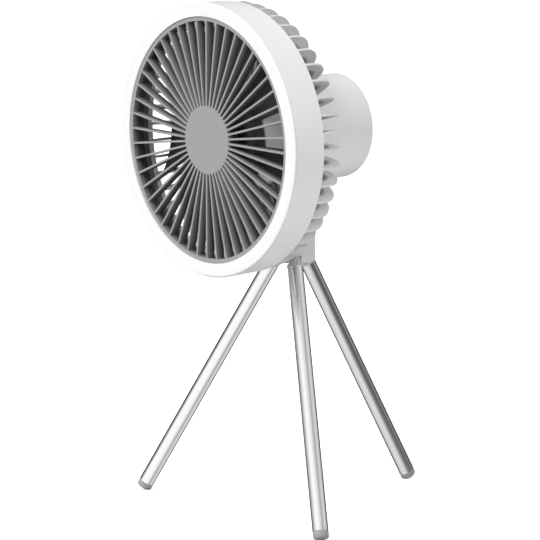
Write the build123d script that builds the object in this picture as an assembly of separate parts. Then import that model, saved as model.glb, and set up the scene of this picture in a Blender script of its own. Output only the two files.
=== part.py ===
from build123d import *
import os
from math import cos, radians, sin, sqrt, tan

# Portable camping fan on a folding tripod.  Millimetres, +Z up, the fan blows towards -Y.
# The origin is on the floor under the middle of the whole object's box.
# "y" values below are measured from the tripod's upright axis, negative towards the front.

# ---- Head: round fan drum -------------------------------------------------------------
drum_radius = 85.5          # outside of the light ring and of the side shell's front edge
drum_depth = 23.5           # from the light ring's face to the side shell's rear edge
shell_draft = 0.6           # how much the side shell narrows towards the back
shell_wall = 3.0
front_y = -70.0             # flat front face of the light ring
ring_band = 9.1             # width of the light ring's face, from the grille to the drum's edge
ring_seam = 1.3             # light ring's depth at the drum's edge
ring_plate = 2.0            # thickness of the opal light ring
ring_skirt = 3.1            # depth of the ring's two locating skirts
ring_edge_round = 1.0
skirt_wall = 1.3
seam_gap = 0.1
fit_gap = 0.2
shelf_depth = 2.2           # inner shelf of the shell that carries the light board
board_thick = 1.5
chip_size = 2.8
chip_height = 0.7
chip_count = 48

# ---- Front grille ---------------------------------------------------------------------
fin_count = 48
grille_rim = 2.5
grille_setback = 0.8        # the grille's face lies this far behind the light ring's
grille_bevel = 0.3
grille_skirt = 8.5          # depth of the grille's rim
fin_front = 1.25
fin_back = 0.85
fin_depth = 6.0
grille_hub_radius = 21.4
grille_hub_plate = 2.0
grille_collar_depth = 8.6
grille_hook_count = 8
grille_hook_width = 10.0
grille_hook_depth = 1.7
shell_screw_length = 9.0

# ---- Rear guard -----------------------------------------------------------------------
rib_count = 48
rib_thick = 1.3
rib_step = 0.6              # how far the ribs stand inside the side shell's rear edge
rib_round = 16.0            # rounded shoulder of each rib
rib_width = 9.0             # width of the bent rib bar, seen from the side of the rib
guard_depth = 22.4          # from the side shell's rear edge to the back of the ribs
rib_root_overlap = 0.7      # how far each rib reaches into the guard ring
guard_ring_wall = 2.8
guard_ring_depth = 5.9
post_radius = 2.1
post_length = 5.0           # screw posts between the shell's shelf and the guard ring
cup_step = 0.95             # how much smaller the motor cup is than the battery housing
cup_wall = 2.0

# ---- Battery and control housing ------------------------------------------------------
housing_radius = 33.15
housing_wall = 2.1
housing_round = 2.2
spigot_length = 4.0
spigot_wall = 1.6
panel_recess = 0.7
panel_thick = 5.0
panel_ledge = 1.6
rim_wall = 3.6              # rolled-in rim around the rear panel
cell_diameter = 18.4
cell_length = 65.0
cell_gap = 0.4
pack_gap = 5.9              # room between the motor shaft's end and the battery pack
spacer_thick = 1.0
spacer_gap = 0.1
board_gap = 0.2
board_margin = 1.75
control_board_thick = 1.6
switch_size = 6.0
switch_height = 2.3
switch_gap = 0.1

# ---- Rear controls --------------------------------------------------------------------
button_radius = 5.8
button_gap = 0.3
button_proud = 0.6
button_travel = 0.6
button_flange = 1.0
button_flange_thick = 1.2
button_round = 0.5
speed_button_z = 14.5
light_button_z = 0.2
pipe_radius = 1.0
pipe_gap = 0.1
pipe_count = 4
pipe_pitch = 4.5
pipe_z = -9.0
port_width = 9.0
port_height = 3.3
port_wall = 0.35
port_tongue = 0.7
port_gap = 0.2
port_z = -15.0
bail_inset = 4.35           # from the panel's edge to the hanging bail's centre line
bail_width = 4.0
bail_thick = 3.0
bail_gap = 0.4
bail_stub_radius = 1.1
bail_stub_length = 1.5
running_gap = 0.05
notch_width = 12.0

# ---- Motor and impeller ---------------------------------------------------------------
blade_count = 7
blade_tip_gap = 4.9         # how far the blade tips stand inside the grille's rim
blade_thick = 1.6
blade_edge = 0.9
blade_front_inset = 1.0     # from the hub's front face to the blade's leading edge
blade_back_inset = 0.3      # from the blade's trailing edge to the hub's rear edge
tip_front_rake = 3.4        # how far behind its root the leading edge ends at the tip
tip_back_rake = 8.5         # and the trailing edge
blade_root_angle = 24.0     # angle covered by one blade at the hub, degrees
blade_tip_angle = 27.0      # and at its tip
blade_rest_angle = 191.9    # where one blade's middle stands at rest, degrees from +X
blade_camber_ratio = 0.11
hub_step = 0.2              # how much smaller the impeller's hub is than the motor cup
hub_clearance = 1.6         # from the grille's collar to the hub
hub_depth = 9.8
hub_gap = 1.0               # from the hub to the motor cup
hub_wall = 2.0
hub_dome = 6.0              # rounding of the hub's front edge
hub_hollow = 3.5            # how far behind the hub's front its hollow starts
hub_face = 1.4              # hub thickness in front of the rotor can
socket_wall = 1.6           # ring that grips the rotor can
can_radius = 20.0
can_depth = 7.6
can_wall = 1.0
can_face = 0.7              # thickness of the can's front
magnet_thick = 1.5
air_gap = 0.5
stator_length = 4.4
stator_setback = 0.4        # how far behind the can's middle the stator sits
tooth_count = 9
tooth_width = 3.0
yoke_radius = 9.0
shoe_depth = 1.6
coil_overhang = 0.8
magnet_overhang = 0.8
shaft_radius = 1.5
shaft_cover = 0.8           # hub thickness left in front of the shaft's end
shaft_lip = 0.5             # shaft length behind the rear bearing
bearing_radius = 4.0
bearing_width = 3.0
bearing_fit = 0.02
tube_radius = 5.5
tube_fit = 0.1
tube_gap = 1.0              # from the can's face to the bearing tube
tube_lip = 1.0              # bearing tube length behind the motor cup's floor
tube_flange_radius = 12.0
tube_flange = 0.8

# ---- Stand ----------------------------------------------------------------------------
axis_height = 241.0         # fan axis above the floor
yoke_drop = 21.85           # from the battery housing's underside to the tilt axis
neck_radius = 15.2
neck_height = 16.2
neck_round = 0.8
tilt_radius = 11.0
tilt_gap = 0.3              # between the yoke's round end and the neck's shoulder
tongue_half = 5.8
washer_thick = 0.45
washer_radius = 8.0
tilt_bolt_radius = 3.0
cheek_thick = 6.7
bolt_head_radius = 4.8
bolt_head_height = 2.4
cap_height = 1.2
cheek_web = 2.1             # solid thickness under the bolt head
yoke_roof = 0.5
yoke_screw_length = 8.0
yoke_bore_depth = 7.0       # depth of the screw holes below the housing
leg_splay_angle = 30.0
leg_pivot_inset = 6.0       # from the neck's side to the leg pivots
leg_pivot_rise = 4.2        # height of the leg pivots above the neck's underside
tube_outer = 4.93
tube_wall = 0.8
knuckle_half = 3.3
slot_gap = 0.25
barrel_gap = 0.3
tongue_length = 6.6
collar_thick = 1.7
collar_step = 0.22
spigot_in_tube = 14.0
foot_length = 4.6
foot_round = 1.5
plug_length = 10.0
pin_radius = 1.25
pin_grip = 3.65             # pin length held on each side of a knuckle's slot
base_plate_thick = 1.6
base_plate_inset = 2.2
base_screw_length = 10.0
screw_radius = 1.25
screw_head_radius = 2.3
screw_head_height = 1.4

# ---- Worked out from the sizes above: the drum, from front to back --------------------
shell_back_y = front_y + drum_depth
grille_radius = drum_radius - ring_band
grille_y = front_y + grille_setback
shelf_front_y = front_y + ring_skirt + fit_gap + board_thick
shelf_back_y = shelf_front_y + shelf_depth
rib_radius = drum_radius - shell_draft - rib_step
guard_back_y = shell_back_y + guard_depth
guard_ring_front_y = shelf_back_y + post_length
guard_ring_back_y = guard_ring_front_y + guard_ring_depth
cup_radius = housing_radius - cup_step

# ---- The motor, from front to back ----------------------------------------------------
hub_radius = cup_radius - hub_step
hub_front_y = grille_y + grille_collar_depth + hub_clearance
hub_back_y = hub_front_y + hub_depth
cup_front_y = hub_back_y + hub_gap
can_front_y = hub_front_y + hub_face
can_back_y = can_front_y + can_depth
stator_y = (can_front_y + can_back_y) / 2 + stator_setback
tube_front_y = can_front_y + tube_gap
tube_back_y = cup_front_y + cup_wall + tube_lip
shaft_back_y = tube_back_y + shaft_lip

# ---- The battery pack and the controls: the cells' length sets the housing's ----------
front_spacer_y = shaft_back_y + pack_gap
cells_front_y = front_spacer_y + spacer_thick + spacer_gap
cells_back_y = cells_front_y + cell_length
rear_spacer_y = cells_back_y + spacer_gap + spacer_thick
board_low_y = rear_spacer_y + board_gap
board_back_y = board_low_y + control_board_thick
flange_front_y = board_back_y + switch_height + switch_gap + button_travel
flange_back_y = flange_front_y + button_flange_thick
panel_front_y = flange_back_y + fit_gap
panel_back_y = panel_front_y + panel_thick
housing_back_y = panel_back_y + panel_recess
panel_radius = housing_radius - rim_wall - fit_gap
bail_radius = panel_radius - bail_inset

# ---- The stand, from the fan's axis down ----------------------------------------------
tilt_height = axis_height - housing_radius - yoke_drop
neck_shoulder = tilt_height - tilt_radius - tilt_gap
neck_base = neck_shoulder - neck_height
leg_pivot_height = neck_base + leg_pivot_rise
leg_pivot_radius = neck_radius - leg_pivot_inset
splay = radians(leg_splay_angle)
foot_end_height = (tube_outer - foot_round) * sin(splay) + foot_round * (1 - cos(splay))
leg_length = (leg_pivot_height - foot_end_height) / cos(splay)
rear_reach = (
    leg_pivot_radius
    + (leg_length - foot_round) * sin(splay)
    + (tube_outer - foot_round) * cos(splay)
    + foot_round
)
stand_y = -(front_y + rear_reach) / 2
stand = Pos(0, stand_y, 0)
head = Pos(0, stand_y, axis_height)
leg_angles = {"right": -30.0, "rear": 90.0, "left": 210.0}
far = 3 * drum_radius       # reaches past everything, for cutting blocks

os.makedirs("parts", exist_ok=True)


def save(name, *solids):
    """Write one node; several solids become one file."""
    pieces = [solid for item in solids for solid in item.solids()]
    shape = pieces[0] if len(pieces) == 1 else Compound(children=pieces)
    shape.label = name
    export_step(shape, "parts/" + name + ".step")
    print(name, len(pieces))


def turned(*points):
    """A solid of revolution about the fan axis, from (radius, y) corners."""
    return revolve(make_face(Polyline(*points, close=True)), Axis.Y, 360)


def tube_y(outer, inner, y_low, y_high):
    """A plain ring or sleeve along the fan axis."""
    return turned((inner, y_low), (outer, y_low), (outer, y_high), (inner, y_high))


def rod_y(radius, y_low, y_high, x=0.0, z=0.0):
    """A round bar along the fan axis direction."""
    bar = Cylinder(radius, y_high - y_low, rotation=(90, 0, 0))
    return Pos(x, (y_low + y_high) / 2, z) * bar


def rod_x(radius, x_low, x_high, y=0.0, z=0.0):
    """A round bar across the fan."""
    bar = Cylinder(radius, x_high - x_low, rotation=(0, 90, 0))
    return Pos((x_low + x_high) / 2, y, z) * bar


def rod_z(radius, z_low, z_high, x=0.0, y=0.0):
    """An upright round bar."""
    return Pos(x, y, (z_low + z_high) / 2) * Cylinder(radius, z_high - z_low)


def block(x_low, x_high, y_low, y_high, z_low, z_high):
    """A box between six planes."""
    centre = Pos((x_low + x_high) / 2, (y_low + y_high) / 2, (z_low + z_high) / 2)
    return centre * Box(x_high - x_low, y_high - y_low, z_high - z_low)


def round_about(shape, count, start=0.0):
    """Copies of a shape, evenly spaced about the fan axis."""
    return [Rot(0, -(start + k * 360 / count), 0) * shape for k in range(count)]


def merged(*shapes):
    """One solid from overlapping shapes."""
    flat = []
    for item in shapes:
        flat.extend(item if isinstance(item, list) else [item])
    return flat[0] + flat[1:]


# ---- Side shell and light ring --------------------------------------------------------
shell_front_y = front_y + ring_seam
shell_bore = drum_radius - shell_wall
shelf_bore = grille_radius + 0.25
screw_circle = (shell_bore + shelf_bore) / 2 + 0.4
shell_screw_angles = [45.0, 135.0, 225.0, 315.0]


def at_spots(shape):
    """Copies of a shape at the shell screws' angles."""
    return [Rot(0, -angle, 0) * shape for angle in shell_screw_angles]


side_shell = turned(
    (shell_bore + fit_gap, shell_front_y),
    (drum_radius, shell_front_y),
    (drum_radius - shell_draft, shell_back_y),
    (shell_bore, shell_back_y),
    (shell_bore, shelf_back_y),
    (shelf_bore, shelf_back_y),
    (shelf_bore, shelf_front_y),
    (shell_bore + fit_gap, shelf_front_y),
)
shell_hole = rod_y(screw_radius + fit_gap, shelf_front_y - 1, shelf_back_y + 1, screw_circle)
side_shell -= at_spots(shell_hole)
save("side_shell", head * side_shell)

ring_bore = grille_radius + fit_gap
ring_outer_skirt = shell_bore
ring_back_y = front_y + ring_plate
skirt_back_y = front_y + ring_skirt
edge = drum_radius - ring_edge_round
ring_profile = [
    Line((ring_bore, front_y), (edge, front_y)),
    JernArc((edge, front_y), (1, 0), ring_edge_round, 90),
    Polyline(
        (drum_radius, front_y + ring_edge_round),
        (drum_radius, shell_front_y - seam_gap),
        (ring_outer_skirt, shell_front_y - seam_gap),
        (ring_outer_skirt, skirt_back_y),
        (ring_outer_skirt - skirt_wall, skirt_back_y),
        (ring_outer_skirt - skirt_wall, ring_back_y),
        (ring_bore + skirt_wall, ring_back_y),
        (ring_bore + skirt_wall, skirt_back_y),
        (ring_bore, skirt_back_y),
        (ring_bore, front_y),
    ),
]
light_ring = revolve(make_face(ring_profile), Axis.Y, 360)
save("light_ring", head * light_ring)

board_front_y = shelf_front_y - board_thick
light_board = tube_y(ring_outer_skirt - 0.1, ring_bore + 0.2, board_front_y, shelf_front_y)
head_clearance = rod_y(screw_head_radius + 0.4, board_front_y - 1, shelf_front_y, screw_circle)
light_board -= at_spots(head_clearance)
save("light_board", head * light_board)

chip_circle = (ring_bore + ring_outer_skirt) / 2
light_chip = block(
    chip_circle - chip_size / 2,
    chip_circle + chip_size / 2,
    board_front_y - chip_height,
    board_front_y,
    -chip_size / 2,
    chip_size / 2,
)
chips = round_about(light_chip, chip_count, 180 / chip_count)
save("light_chips", *[head * chip for chip in chips])


def screw_y(y_seat, length, x, z=0.0):
    """Pan-head screw driven towards +Y, its head in front of y_seat."""
    crown = rod_y(screw_head_radius, y_seat - screw_head_height, y_seat, x, z)
    return crown + rod_y(screw_radius, y_seat - 0.1, y_seat + length, x, z)


shell_screw = screw_y(shelf_front_y, shell_screw_length, screw_circle)
save("shell_screws", *[head * screw for screw in at_spots(shell_screw)])

# ---- Front grille: rim, hub and thin deep fins ----------------------------------------
rim_bore = grille_radius - grille_rim
grille_back_y = grille_y + grille_skirt
rim = turned(
    (rim_bore, grille_y),
    (grille_radius - grille_bevel, grille_y),
    (grille_radius, grille_y + grille_bevel),
    (grille_radius, grille_back_y),
    (rim_bore, grille_back_y),
)
hub_disc = turned(
    (0, grille_y),
    (grille_hub_radius - 0.5, grille_y),
    (grille_hub_radius, grille_y + 0.5),
    (grille_hub_radius, grille_y + grille_hub_plate),
    (0, grille_y + grille_hub_plate),
)
hub_collar = tube_y(
    grille_hub_radius - 0.4,
    grille_hub_radius - 2.4,
    grille_y + grille_hub_plate - 0.5,
    grille_y + grille_collar_depth,
)
fin_profile = Polyline(
    (grille_y, -fin_front / 2),
    (grille_y, fin_front / 2),
    (grille_y + fin_depth, fin_back / 2),
    (grille_y + fin_depth, -fin_back / 2),
    close=True,
)
fin_start = grille_hub_radius - 1.4
fin_length = rim_bore + 0.8 - fin_start
fin = extrude(Plane.YZ.offset(fin_start) * make_face(fin_profile), fin_length)
hook = block(
    grille_radius - 0.5,
    grille_radius + 1.6,
    shelf_back_y + 0.1,
    shelf_back_y + 0.1 + grille_hook_depth,
    -grille_hook_width / 2,
    grille_hook_width / 2,
)
grille = merged(
    rim,
    hub_disc,
    hub_collar,
    round_about(fin, fin_count),
    round_about(hook, grille_hook_count, 180 / grille_hook_count),
)
save("front_grille", head * grille)

# ---- Rear guard: bent ribs between the shell and the motor cup ------------------------
ring_outer = shell_bore - fit_gap
ring_inner = ring_outer - guard_ring_wall
rib_start_y = shell_back_y + fit_gap
shoulder_x = rib_radius - rib_round
shoulder_y = guard_back_y - rib_round
rib_inner = rib_radius - rib_width
inner_round = rib_round - rib_width
rib_root_y = guard_ring_back_y - rib_root_overlap
rib_foot = cup_radius - cup_wall / 2
rib_profile = [
    Line((rib_radius, rib_start_y), (rib_radius, shoulder_y)),
    JernArc((rib_radius, shoulder_y), (0, 1), rib_round, 90),
    Polyline(
        (shoulder_x, guard_back_y),
        (rib_foot, guard_back_y),
        (rib_foot, guard_back_y - rib_width),
        (shoulder_x, guard_back_y - rib_width),
    ),
    JernArc((shoulder_x, guard_back_y - rib_width), (1, 0), inner_round, -90),
    Polyline(
        (rib_inner, shoulder_y),
        (ring_inner, rib_start_y),
        (ring_inner, rib_root_y),
        (ring_outer, rib_root_y),
        (ring_outer, rib_start_y),
        (rib_radius, rib_start_y),
    ),
]
rib = extrude(make_face(rib_profile), rib_thick / 2, both=True)
guard_ring = tube_y(ring_outer, ring_inner, guard_ring_front_y, guard_ring_back_y)
cup_bore = cup_radius - cup_wall
motor_cup = turned(
    (tube_radius + tube_fit, cup_front_y),
    (cup_radius, cup_front_y),
    (cup_radius, guard_back_y),
    (cup_bore, guard_back_y),
    (cup_bore, cup_front_y + cup_wall),
    (tube_radius + tube_fit, cup_front_y + cup_wall),
)
post = rod_y(post_radius, shelf_back_y, guard_ring_front_y + 1, screw_circle - 0.2)
post_hole_end = shelf_front_y + shell_screw_length + 1.2
post_hole = rod_y(screw_radius, shelf_back_y - 1, post_hole_end, screw_circle)
rear_guard = merged(guard_ring, motor_cup, round_about(rib, rib_count), at_spots(post))
rear_guard -= at_spots(post_hole)
save("rear_guard", head * rear_guard)

# ---- Battery housing and rear panel ---------------------------------------------------
housing_bore = housing_radius - housing_wall
ledge_y = panel_front_y - panel_ledge
housing_tube = turned(
    (housing_bore, guard_back_y),
    (housing_radius, guard_back_y),
    (housing_radius, housing_back_y),
    (panel_radius + fit_gap, housing_back_y),
    (panel_radius + fit_gap, panel_front_y),
    (panel_radius - panel_ledge, panel_front_y),
    (panel_radius - panel_ledge, ledge_y),
    (housing_bore, ledge_y - 2),
)
back_rims = housing_tube.edges().filter_by(GeomType.CIRCLE).group_by(Axis.Y)[-1]
outer_rim = back_rims.sort_by(SortBy.RADIUS)[-1]
housing_tube = fillet(outer_rim, housing_round)
spigot_radius = cup_bore - fit_gap
spigot = turned(
    (spigot_radius - spigot_wall, guard_back_y - spigot_length),
    (spigot_radius, guard_back_y - spigot_length),
    (spigot_radius, guard_back_y),
    (housing_radius - 1, guard_back_y),
    (housing_radius - 1, guard_back_y + 3),
    (spigot_radius - spigot_wall, guard_back_y + 3),
)
battery_housing = housing_tube + spigot

yoke_screw_spots = (-7.0, 7.0)
for y_spot in yoke_screw_spots:
    battery_housing -= rod_z(screw_radius + 0.1, -housing_radius - 1, -housing_bore + 2, 0, y_spot)
save("battery_housing", head * battery_housing)

panel = rod_y(panel_radius, panel_front_y, panel_back_y)
bail_y = panel_back_y - 0.3 - bail_thick / 2
groove_floor = bail_y - bail_thick / 2 - bail_gap
groove_half = bail_width / 2 + bail_gap
groove = tube_y(bail_radius + groove_half, bail_radius - groove_half, groove_floor,
                panel_back_y + 1)
groove_top = bail_thick / 2 + bail_gap
groove &= block(-far, far, groove_floor - 1, panel_back_y + 2, -far, groove_top)
notch = block(-notch_width / 2, notch_width / 2, groove_floor, panel_back_y + 1,
              -panel_radius - 1, -bail_radius)
stub_hole = rod_x(bail_stub_radius + running_gap, bail_radius, panel_radius + 1, bail_y, 0)
panel -= [groove, notch, stub_hole, mirror(stub_hole, Plane.YZ)]
button_spots = {"speed_button": speed_button_z, "light_button": light_button_z}
for z_spot in button_spots.values():
    panel -= rod_y(button_radius + button_gap, panel_front_y - 1, panel_back_y + 1, 0, z_spot)
pipe_spots = [(k - (pipe_count - 1) / 2) * pipe_pitch for k in range(pipe_count)]
for x_spot in pipe_spots:
    panel -= rod_y(pipe_radius + pipe_gap, panel_front_y - 1, panel_back_y + 1, x_spot, pipe_z)


def port_slug(width, height, y_low, y_high):
    """The rounded-end block that a charging socket fills."""
    outline = Plane.XZ * SlotOverall(width, height)
    return Pos(0, y_high, port_z) * extrude(outline, y_high - y_low)


panel -= port_slug(port_width + 2 * port_gap, port_height + 2 * port_gap,
                   panel_front_y - 1, panel_back_y + 1)
save("rear_panel", head * panel)

# ---- Hanging bail ---------------------------------------------------------------------
bail_arc = tube_y(
    bail_radius + bail_width / 2,
    bail_radius - bail_width / 2,
    bail_y - bail_thick / 2,
    bail_y + bail_thick / 2,
)
bail_arc &= block(-far, far, bail_y - bail_thick, bail_y + bail_thick, -far, 0)
bail_ends = []
for side in (-1, 1):
    inner = side * (bail_radius - bail_width / 2)
    outer = side * (bail_radius + bail_width / 2)
    tip = side * (bail_radius + bail_width / 2 + bail_stub_length)
    bail_ends.append(rod_x(bail_thick / 2, min(inner, outer), max(inner, outer), bail_y))
    bail_ends.append(rod_x(bail_stub_radius, min(inner, tip), max(inner, tip), bail_y))
save("hanging_bail", head * merged(bail_arc, bail_ends))

# ---- Buttons, light pipes and socket --------------------------------------------------
for name, z_spot in button_spots.items():
    cap = rod_y(button_radius, flange_front_y, panel_back_y + button_proud, 0, z_spot)
    cap_rims = cap.edges().filter_by(GeomType.CIRCLE).group_by(Axis.Y)[-1]
    cap = fillet(cap_rims, button_round)
    flange = rod_y(button_radius + button_flange, flange_front_y, flange_back_y, 0, z_spot)
    save(name, head * (cap + flange))

control_board_radius = panel_radius - panel_ledge - board_margin
control_board = rod_y(control_board_radius, board_low_y, board_back_y)
save("control_board", head * control_board)
switches = [
    block(-switch_size / 2, switch_size / 2, board_back_y, board_back_y + switch_height,
          z - switch_size / 2, z + switch_size / 2)
    for z in button_spots.values()
]
save("button_switches", *[head * switch for switch in switches])
pipes = [rod_y(pipe_radius, board_back_y + 0.4, panel_back_y, x, pipe_z) for x in pipe_spots]
save("indicator_pipes", *[head * pipe for pipe in pipes])
port_back_y = panel_back_y - 0.6
port = port_slug(port_width, port_height, board_back_y, port_back_y)
port -= port_slug(port_width - 2 * port_wall, port_height - 2 * port_wall,
                  board_back_y + 1.2, port_back_y + 1)
port += block(-3.3, 3.3, board_back_y + 1, port_back_y - 1,
              port_z - port_tongue / 2, port_z + port_tongue / 2)
save("charging_port", head * port)

# ---- Battery pack ---------------------------------------------------------------------
cell_offset = (cell_diameter + cell_gap) / 2
cell_spots = [(x, z) for x in (-cell_offset, cell_offset) for z in (-cell_offset, cell_offset)]
cells = [
    rod_y(cell_diameter / 2, cells_front_y, cells_back_y - 0.8, x, z)
    + rod_y(cell_diameter / 4, cells_back_y - 1.0, cells_back_y, x, z)
    for x, z in cell_spots
]
save("battery_cells", *[head * cell for cell in cells])
spacers = [
    rod_y(cup_bore - 0.15, front_spacer_y, front_spacer_y + spacer_thick),
    rod_y(housing_bore - 0.15, cells_back_y + spacer_gap, rear_spacer_y),
]
save("cell_spacers", *[head * spacer for spacer in spacers])

# ---- Motor ----------------------------------------------------------------------------
bearing_tube = tube_y(tube_radius, bearing_radius, tube_front_y, tube_back_y)
bearing_tube += tube_y(tube_flange_radius, bearing_radius, cup_front_y - tube_flange, cup_front_y)
save("bearing_tube", head * bearing_tube)
bearing_bore = shaft_radius + bearing_fit
bearings = [
    tube_y(bearing_radius, bearing_bore, tube_front_y, tube_front_y + bearing_width),
    tube_y(bearing_radius, bearing_bore, tube_back_y - bearing_width, tube_back_y),
]
save("shaft_bearings", *[head * bearing for bearing in bearings])

magnet_bore = can_radius - can_wall - magnet_thick
stator_radius = magnet_bore - air_gap
stator_low = stator_y - stator_length / 2
stator_high = stator_y + stator_length / 2
stator_yoke = tube_y(yoke_radius, tube_radius, stator_low, stator_high)
tooth = block(yoke_radius - 1, stator_radius - 0.5, stator_low, stator_high,
              -tooth_width / 2, tooth_width / 2)
shoe_ring = tube_y(stator_radius, stator_radius - shoe_depth, stator_low, stator_high)
shoe = shoe_ring & block(0, stator_radius + 1, stator_low - 1, stator_high + 1, -4.6, 4.6)
stator = merged(stator_yoke, round_about(tooth, tooth_count), round_about(shoe, tooth_count))
save("motor_stator", head * stator)
coil_start = yoke_radius + 0.4
coil_end = stator_radius - shoe_depth - 0.6
coil = block(coil_start, coil_end, stator_low - coil_overhang, stator_high + coil_overhang,
             -tooth_width / 2 - 0.9, tooth_width / 2 + 0.9)
coil -= block(coil_start - 1, coil_end + 1, stator_low, stator_high,
              -tooth_width / 2, tooth_width / 2)
save("stator_coils", *[head * c for c in round_about(coil, tooth_count)])

rotor_can = turned(
    (shaft_radius, can_front_y),
    (can_radius, can_front_y),
    (can_radius, can_back_y),
    (can_radius - can_wall, can_back_y),
    (can_radius - can_wall, can_front_y + can_face),
    (shaft_radius, can_front_y + can_face),
)
save("rotor_can", head * rotor_can)
shaft_front_y = hub_front_y + shaft_cover
magnet = tube_y(can_radius - can_wall, magnet_bore, stator_low - magnet_overhang,
                stator_high + magnet_overhang)
save("rotor_magnet", head * magnet)
save("motor_shaft", head * rod_y(shaft_radius, shaft_front_y, shaft_back_y))

# ---- Impeller -------------------------------------------------------------------------
hollow_front_y = hub_front_y + hub_hollow
hub_profile = [
    Polyline(
        (0, can_front_y),
        (0, hub_front_y),
        (hub_radius - hub_dome, hub_front_y),
    ),
    JernArc((hub_radius - hub_dome, hub_front_y), (1, 0), hub_dome, 90),
    Polyline(
        (hub_radius, hub_front_y + hub_dome),
        (hub_radius, hub_back_y),
        (hub_radius - hub_wall, hub_back_y),
        (hub_radius - hub_wall, hollow_front_y),
        (can_radius + socket_wall, hollow_front_y),
        (can_radius + socket_wall, can_back_y),
        (can_radius, can_back_y),
        (can_radius, can_front_y),
        (0, can_front_y),
    ),
]
hub = revolve(make_face(hub_profile), Axis.Y, 360)


def blade_section(radius, back_y, front_y_here, sweep):
    """One curved blade section on the plane that touches the given radius."""
    half_turn = radius * tan(radians(sweep / 2))
    depth = back_y - front_y_here
    chord = sqrt((2 * half_turn) ** 2 + depth ** 2)
    bow = chord * blade_camber_ratio
    middle_y = (back_y + front_y_here) / 2
    normal = (2 * half_turn / chord, depth / chord)

    def beside(y, z, offset):
        return (y + normal[0] * offset, z + normal[1] * offset)

    edge_half = blade_edge / 2
    outline = [
        ThreePointArc(beside(back_y, -half_turn, edge_half),
                      beside(middle_y, 0, bow + blade_thick / 2),
                      beside(front_y_here, half_turn, edge_half)),
        Line(beside(front_y_here, half_turn, edge_half),
             beside(front_y_here, half_turn, -edge_half)),
        ThreePointArc(beside(front_y_here, half_turn, -edge_half),
                      beside(middle_y, 0, bow - blade_thick / 2),
                      beside(back_y, -half_turn, -edge_half)),
        Line(beside(back_y, -half_turn, -edge_half),
             beside(back_y, -half_turn, edge_half)),
    ]
    return Plane.YZ.offset(radius) * make_face(outline)


blade_tip_radius = rim_bore - blade_tip_gap


def along_blade(radius, root_value, tip_value):
    """A blade value at a radius, on a straight line from hub to tip."""
    share = (radius - hub_radius) / (blade_tip_radius - hub_radius)
    return root_value + (tip_value - root_value) * share


blade_root_front = hub_front_y + blade_front_inset
blade_root_back = hub_back_y - blade_back_inset
blade_tip_front = blade_root_front + tip_front_rake
blade_tip_back = blade_root_back + tip_back_rake
section_radii = (hub_radius - hub_wall + 0.2, blade_tip_radius + 2.5)
sections = [
    blade_section(r, along_blade(r, blade_root_back, blade_tip_back),
                  along_blade(r, blade_root_front, blade_tip_front),
                  along_blade(r, blade_root_angle, blade_tip_angle))
    for r in section_radii
]
blade = loft(sections, ruled=True)
blade &= tube_y(blade_tip_radius, hub_radius - hub_wall / 2, hub_front_y, hub_back_y + 8)
impeller = merged(hub, round_about(blade, blade_count, blade_rest_angle))
impeller -= rod_y(shaft_radius, shaft_front_y, can_front_y + 1)
save("impeller", head * impeller)

# ---- Tilt yoke under the housing ------------------------------------------------------
cheek_inner = tongue_half + washer_thick + running_gap
cheek_half = cheek_inner + cheek_thick
yoke_blank = rod_z(neck_radius, tilt_height, axis_height)
yoke_blank &= block(-cheek_half, cheek_half, -tilt_radius, tilt_radius,
                    tilt_height, axis_height)
yoke_round = rod_x(tilt_radius, -cheek_half, cheek_half, 0, tilt_height)
yoke = (yoke_blank + yoke_round) & rod_z(neck_radius, neck_shoulder, axis_height)
yoke -= rod_y(housing_radius, -far, far, 0, axis_height)
yoke -= rod_x(tilt_radius + yoke_roof, -cheek_inner, cheek_inner, 0, tilt_height)
yoke -= block(-cheek_inner, cheek_inner, -tilt_radius - 1, tilt_radius + 1,
              neck_shoulder, tilt_height)
yoke -= block(-cheek_inner, cheek_inner, 0, tilt_radius + 1,
              tilt_height, tilt_height + tilt_radius + yoke_roof)
yoke -= rod_x(tilt_bolt_radius, -cheek_half - 1, cheek_half + 1, 0, tilt_height)
seat_x = cheek_inner + cheek_web
for side in (-1, 1):
    low, high = sorted((side * seat_x, side * (cheek_half + 1)))
    yoke -= rod_x(bolt_head_radius + fit_gap, low, high, 0, tilt_height)
for y_spot in yoke_screw_spots:
    bore_end = axis_height - housing_radius - yoke_bore_depth
    yoke -= rod_z(screw_radius, bore_end, axis_height, 0, y_spot)
save("tilt_yoke", stand * yoke)

yoke_screws = []
for y_spot in yoke_screw_spots:
    seat_z = axis_height - sqrt(housing_bore ** 2 - screw_head_radius ** 2) + 0.05
    shank = rod_z(screw_radius, seat_z - yoke_screw_length, seat_z + 0.2, 0, y_spot)
    yoke_screws.append(shank + rod_z(screw_head_radius, seat_z, seat_z + screw_head_height,
                                     0, y_spot))
save("yoke_screws", *[stand * screw for screw in yoke_screws])

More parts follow.
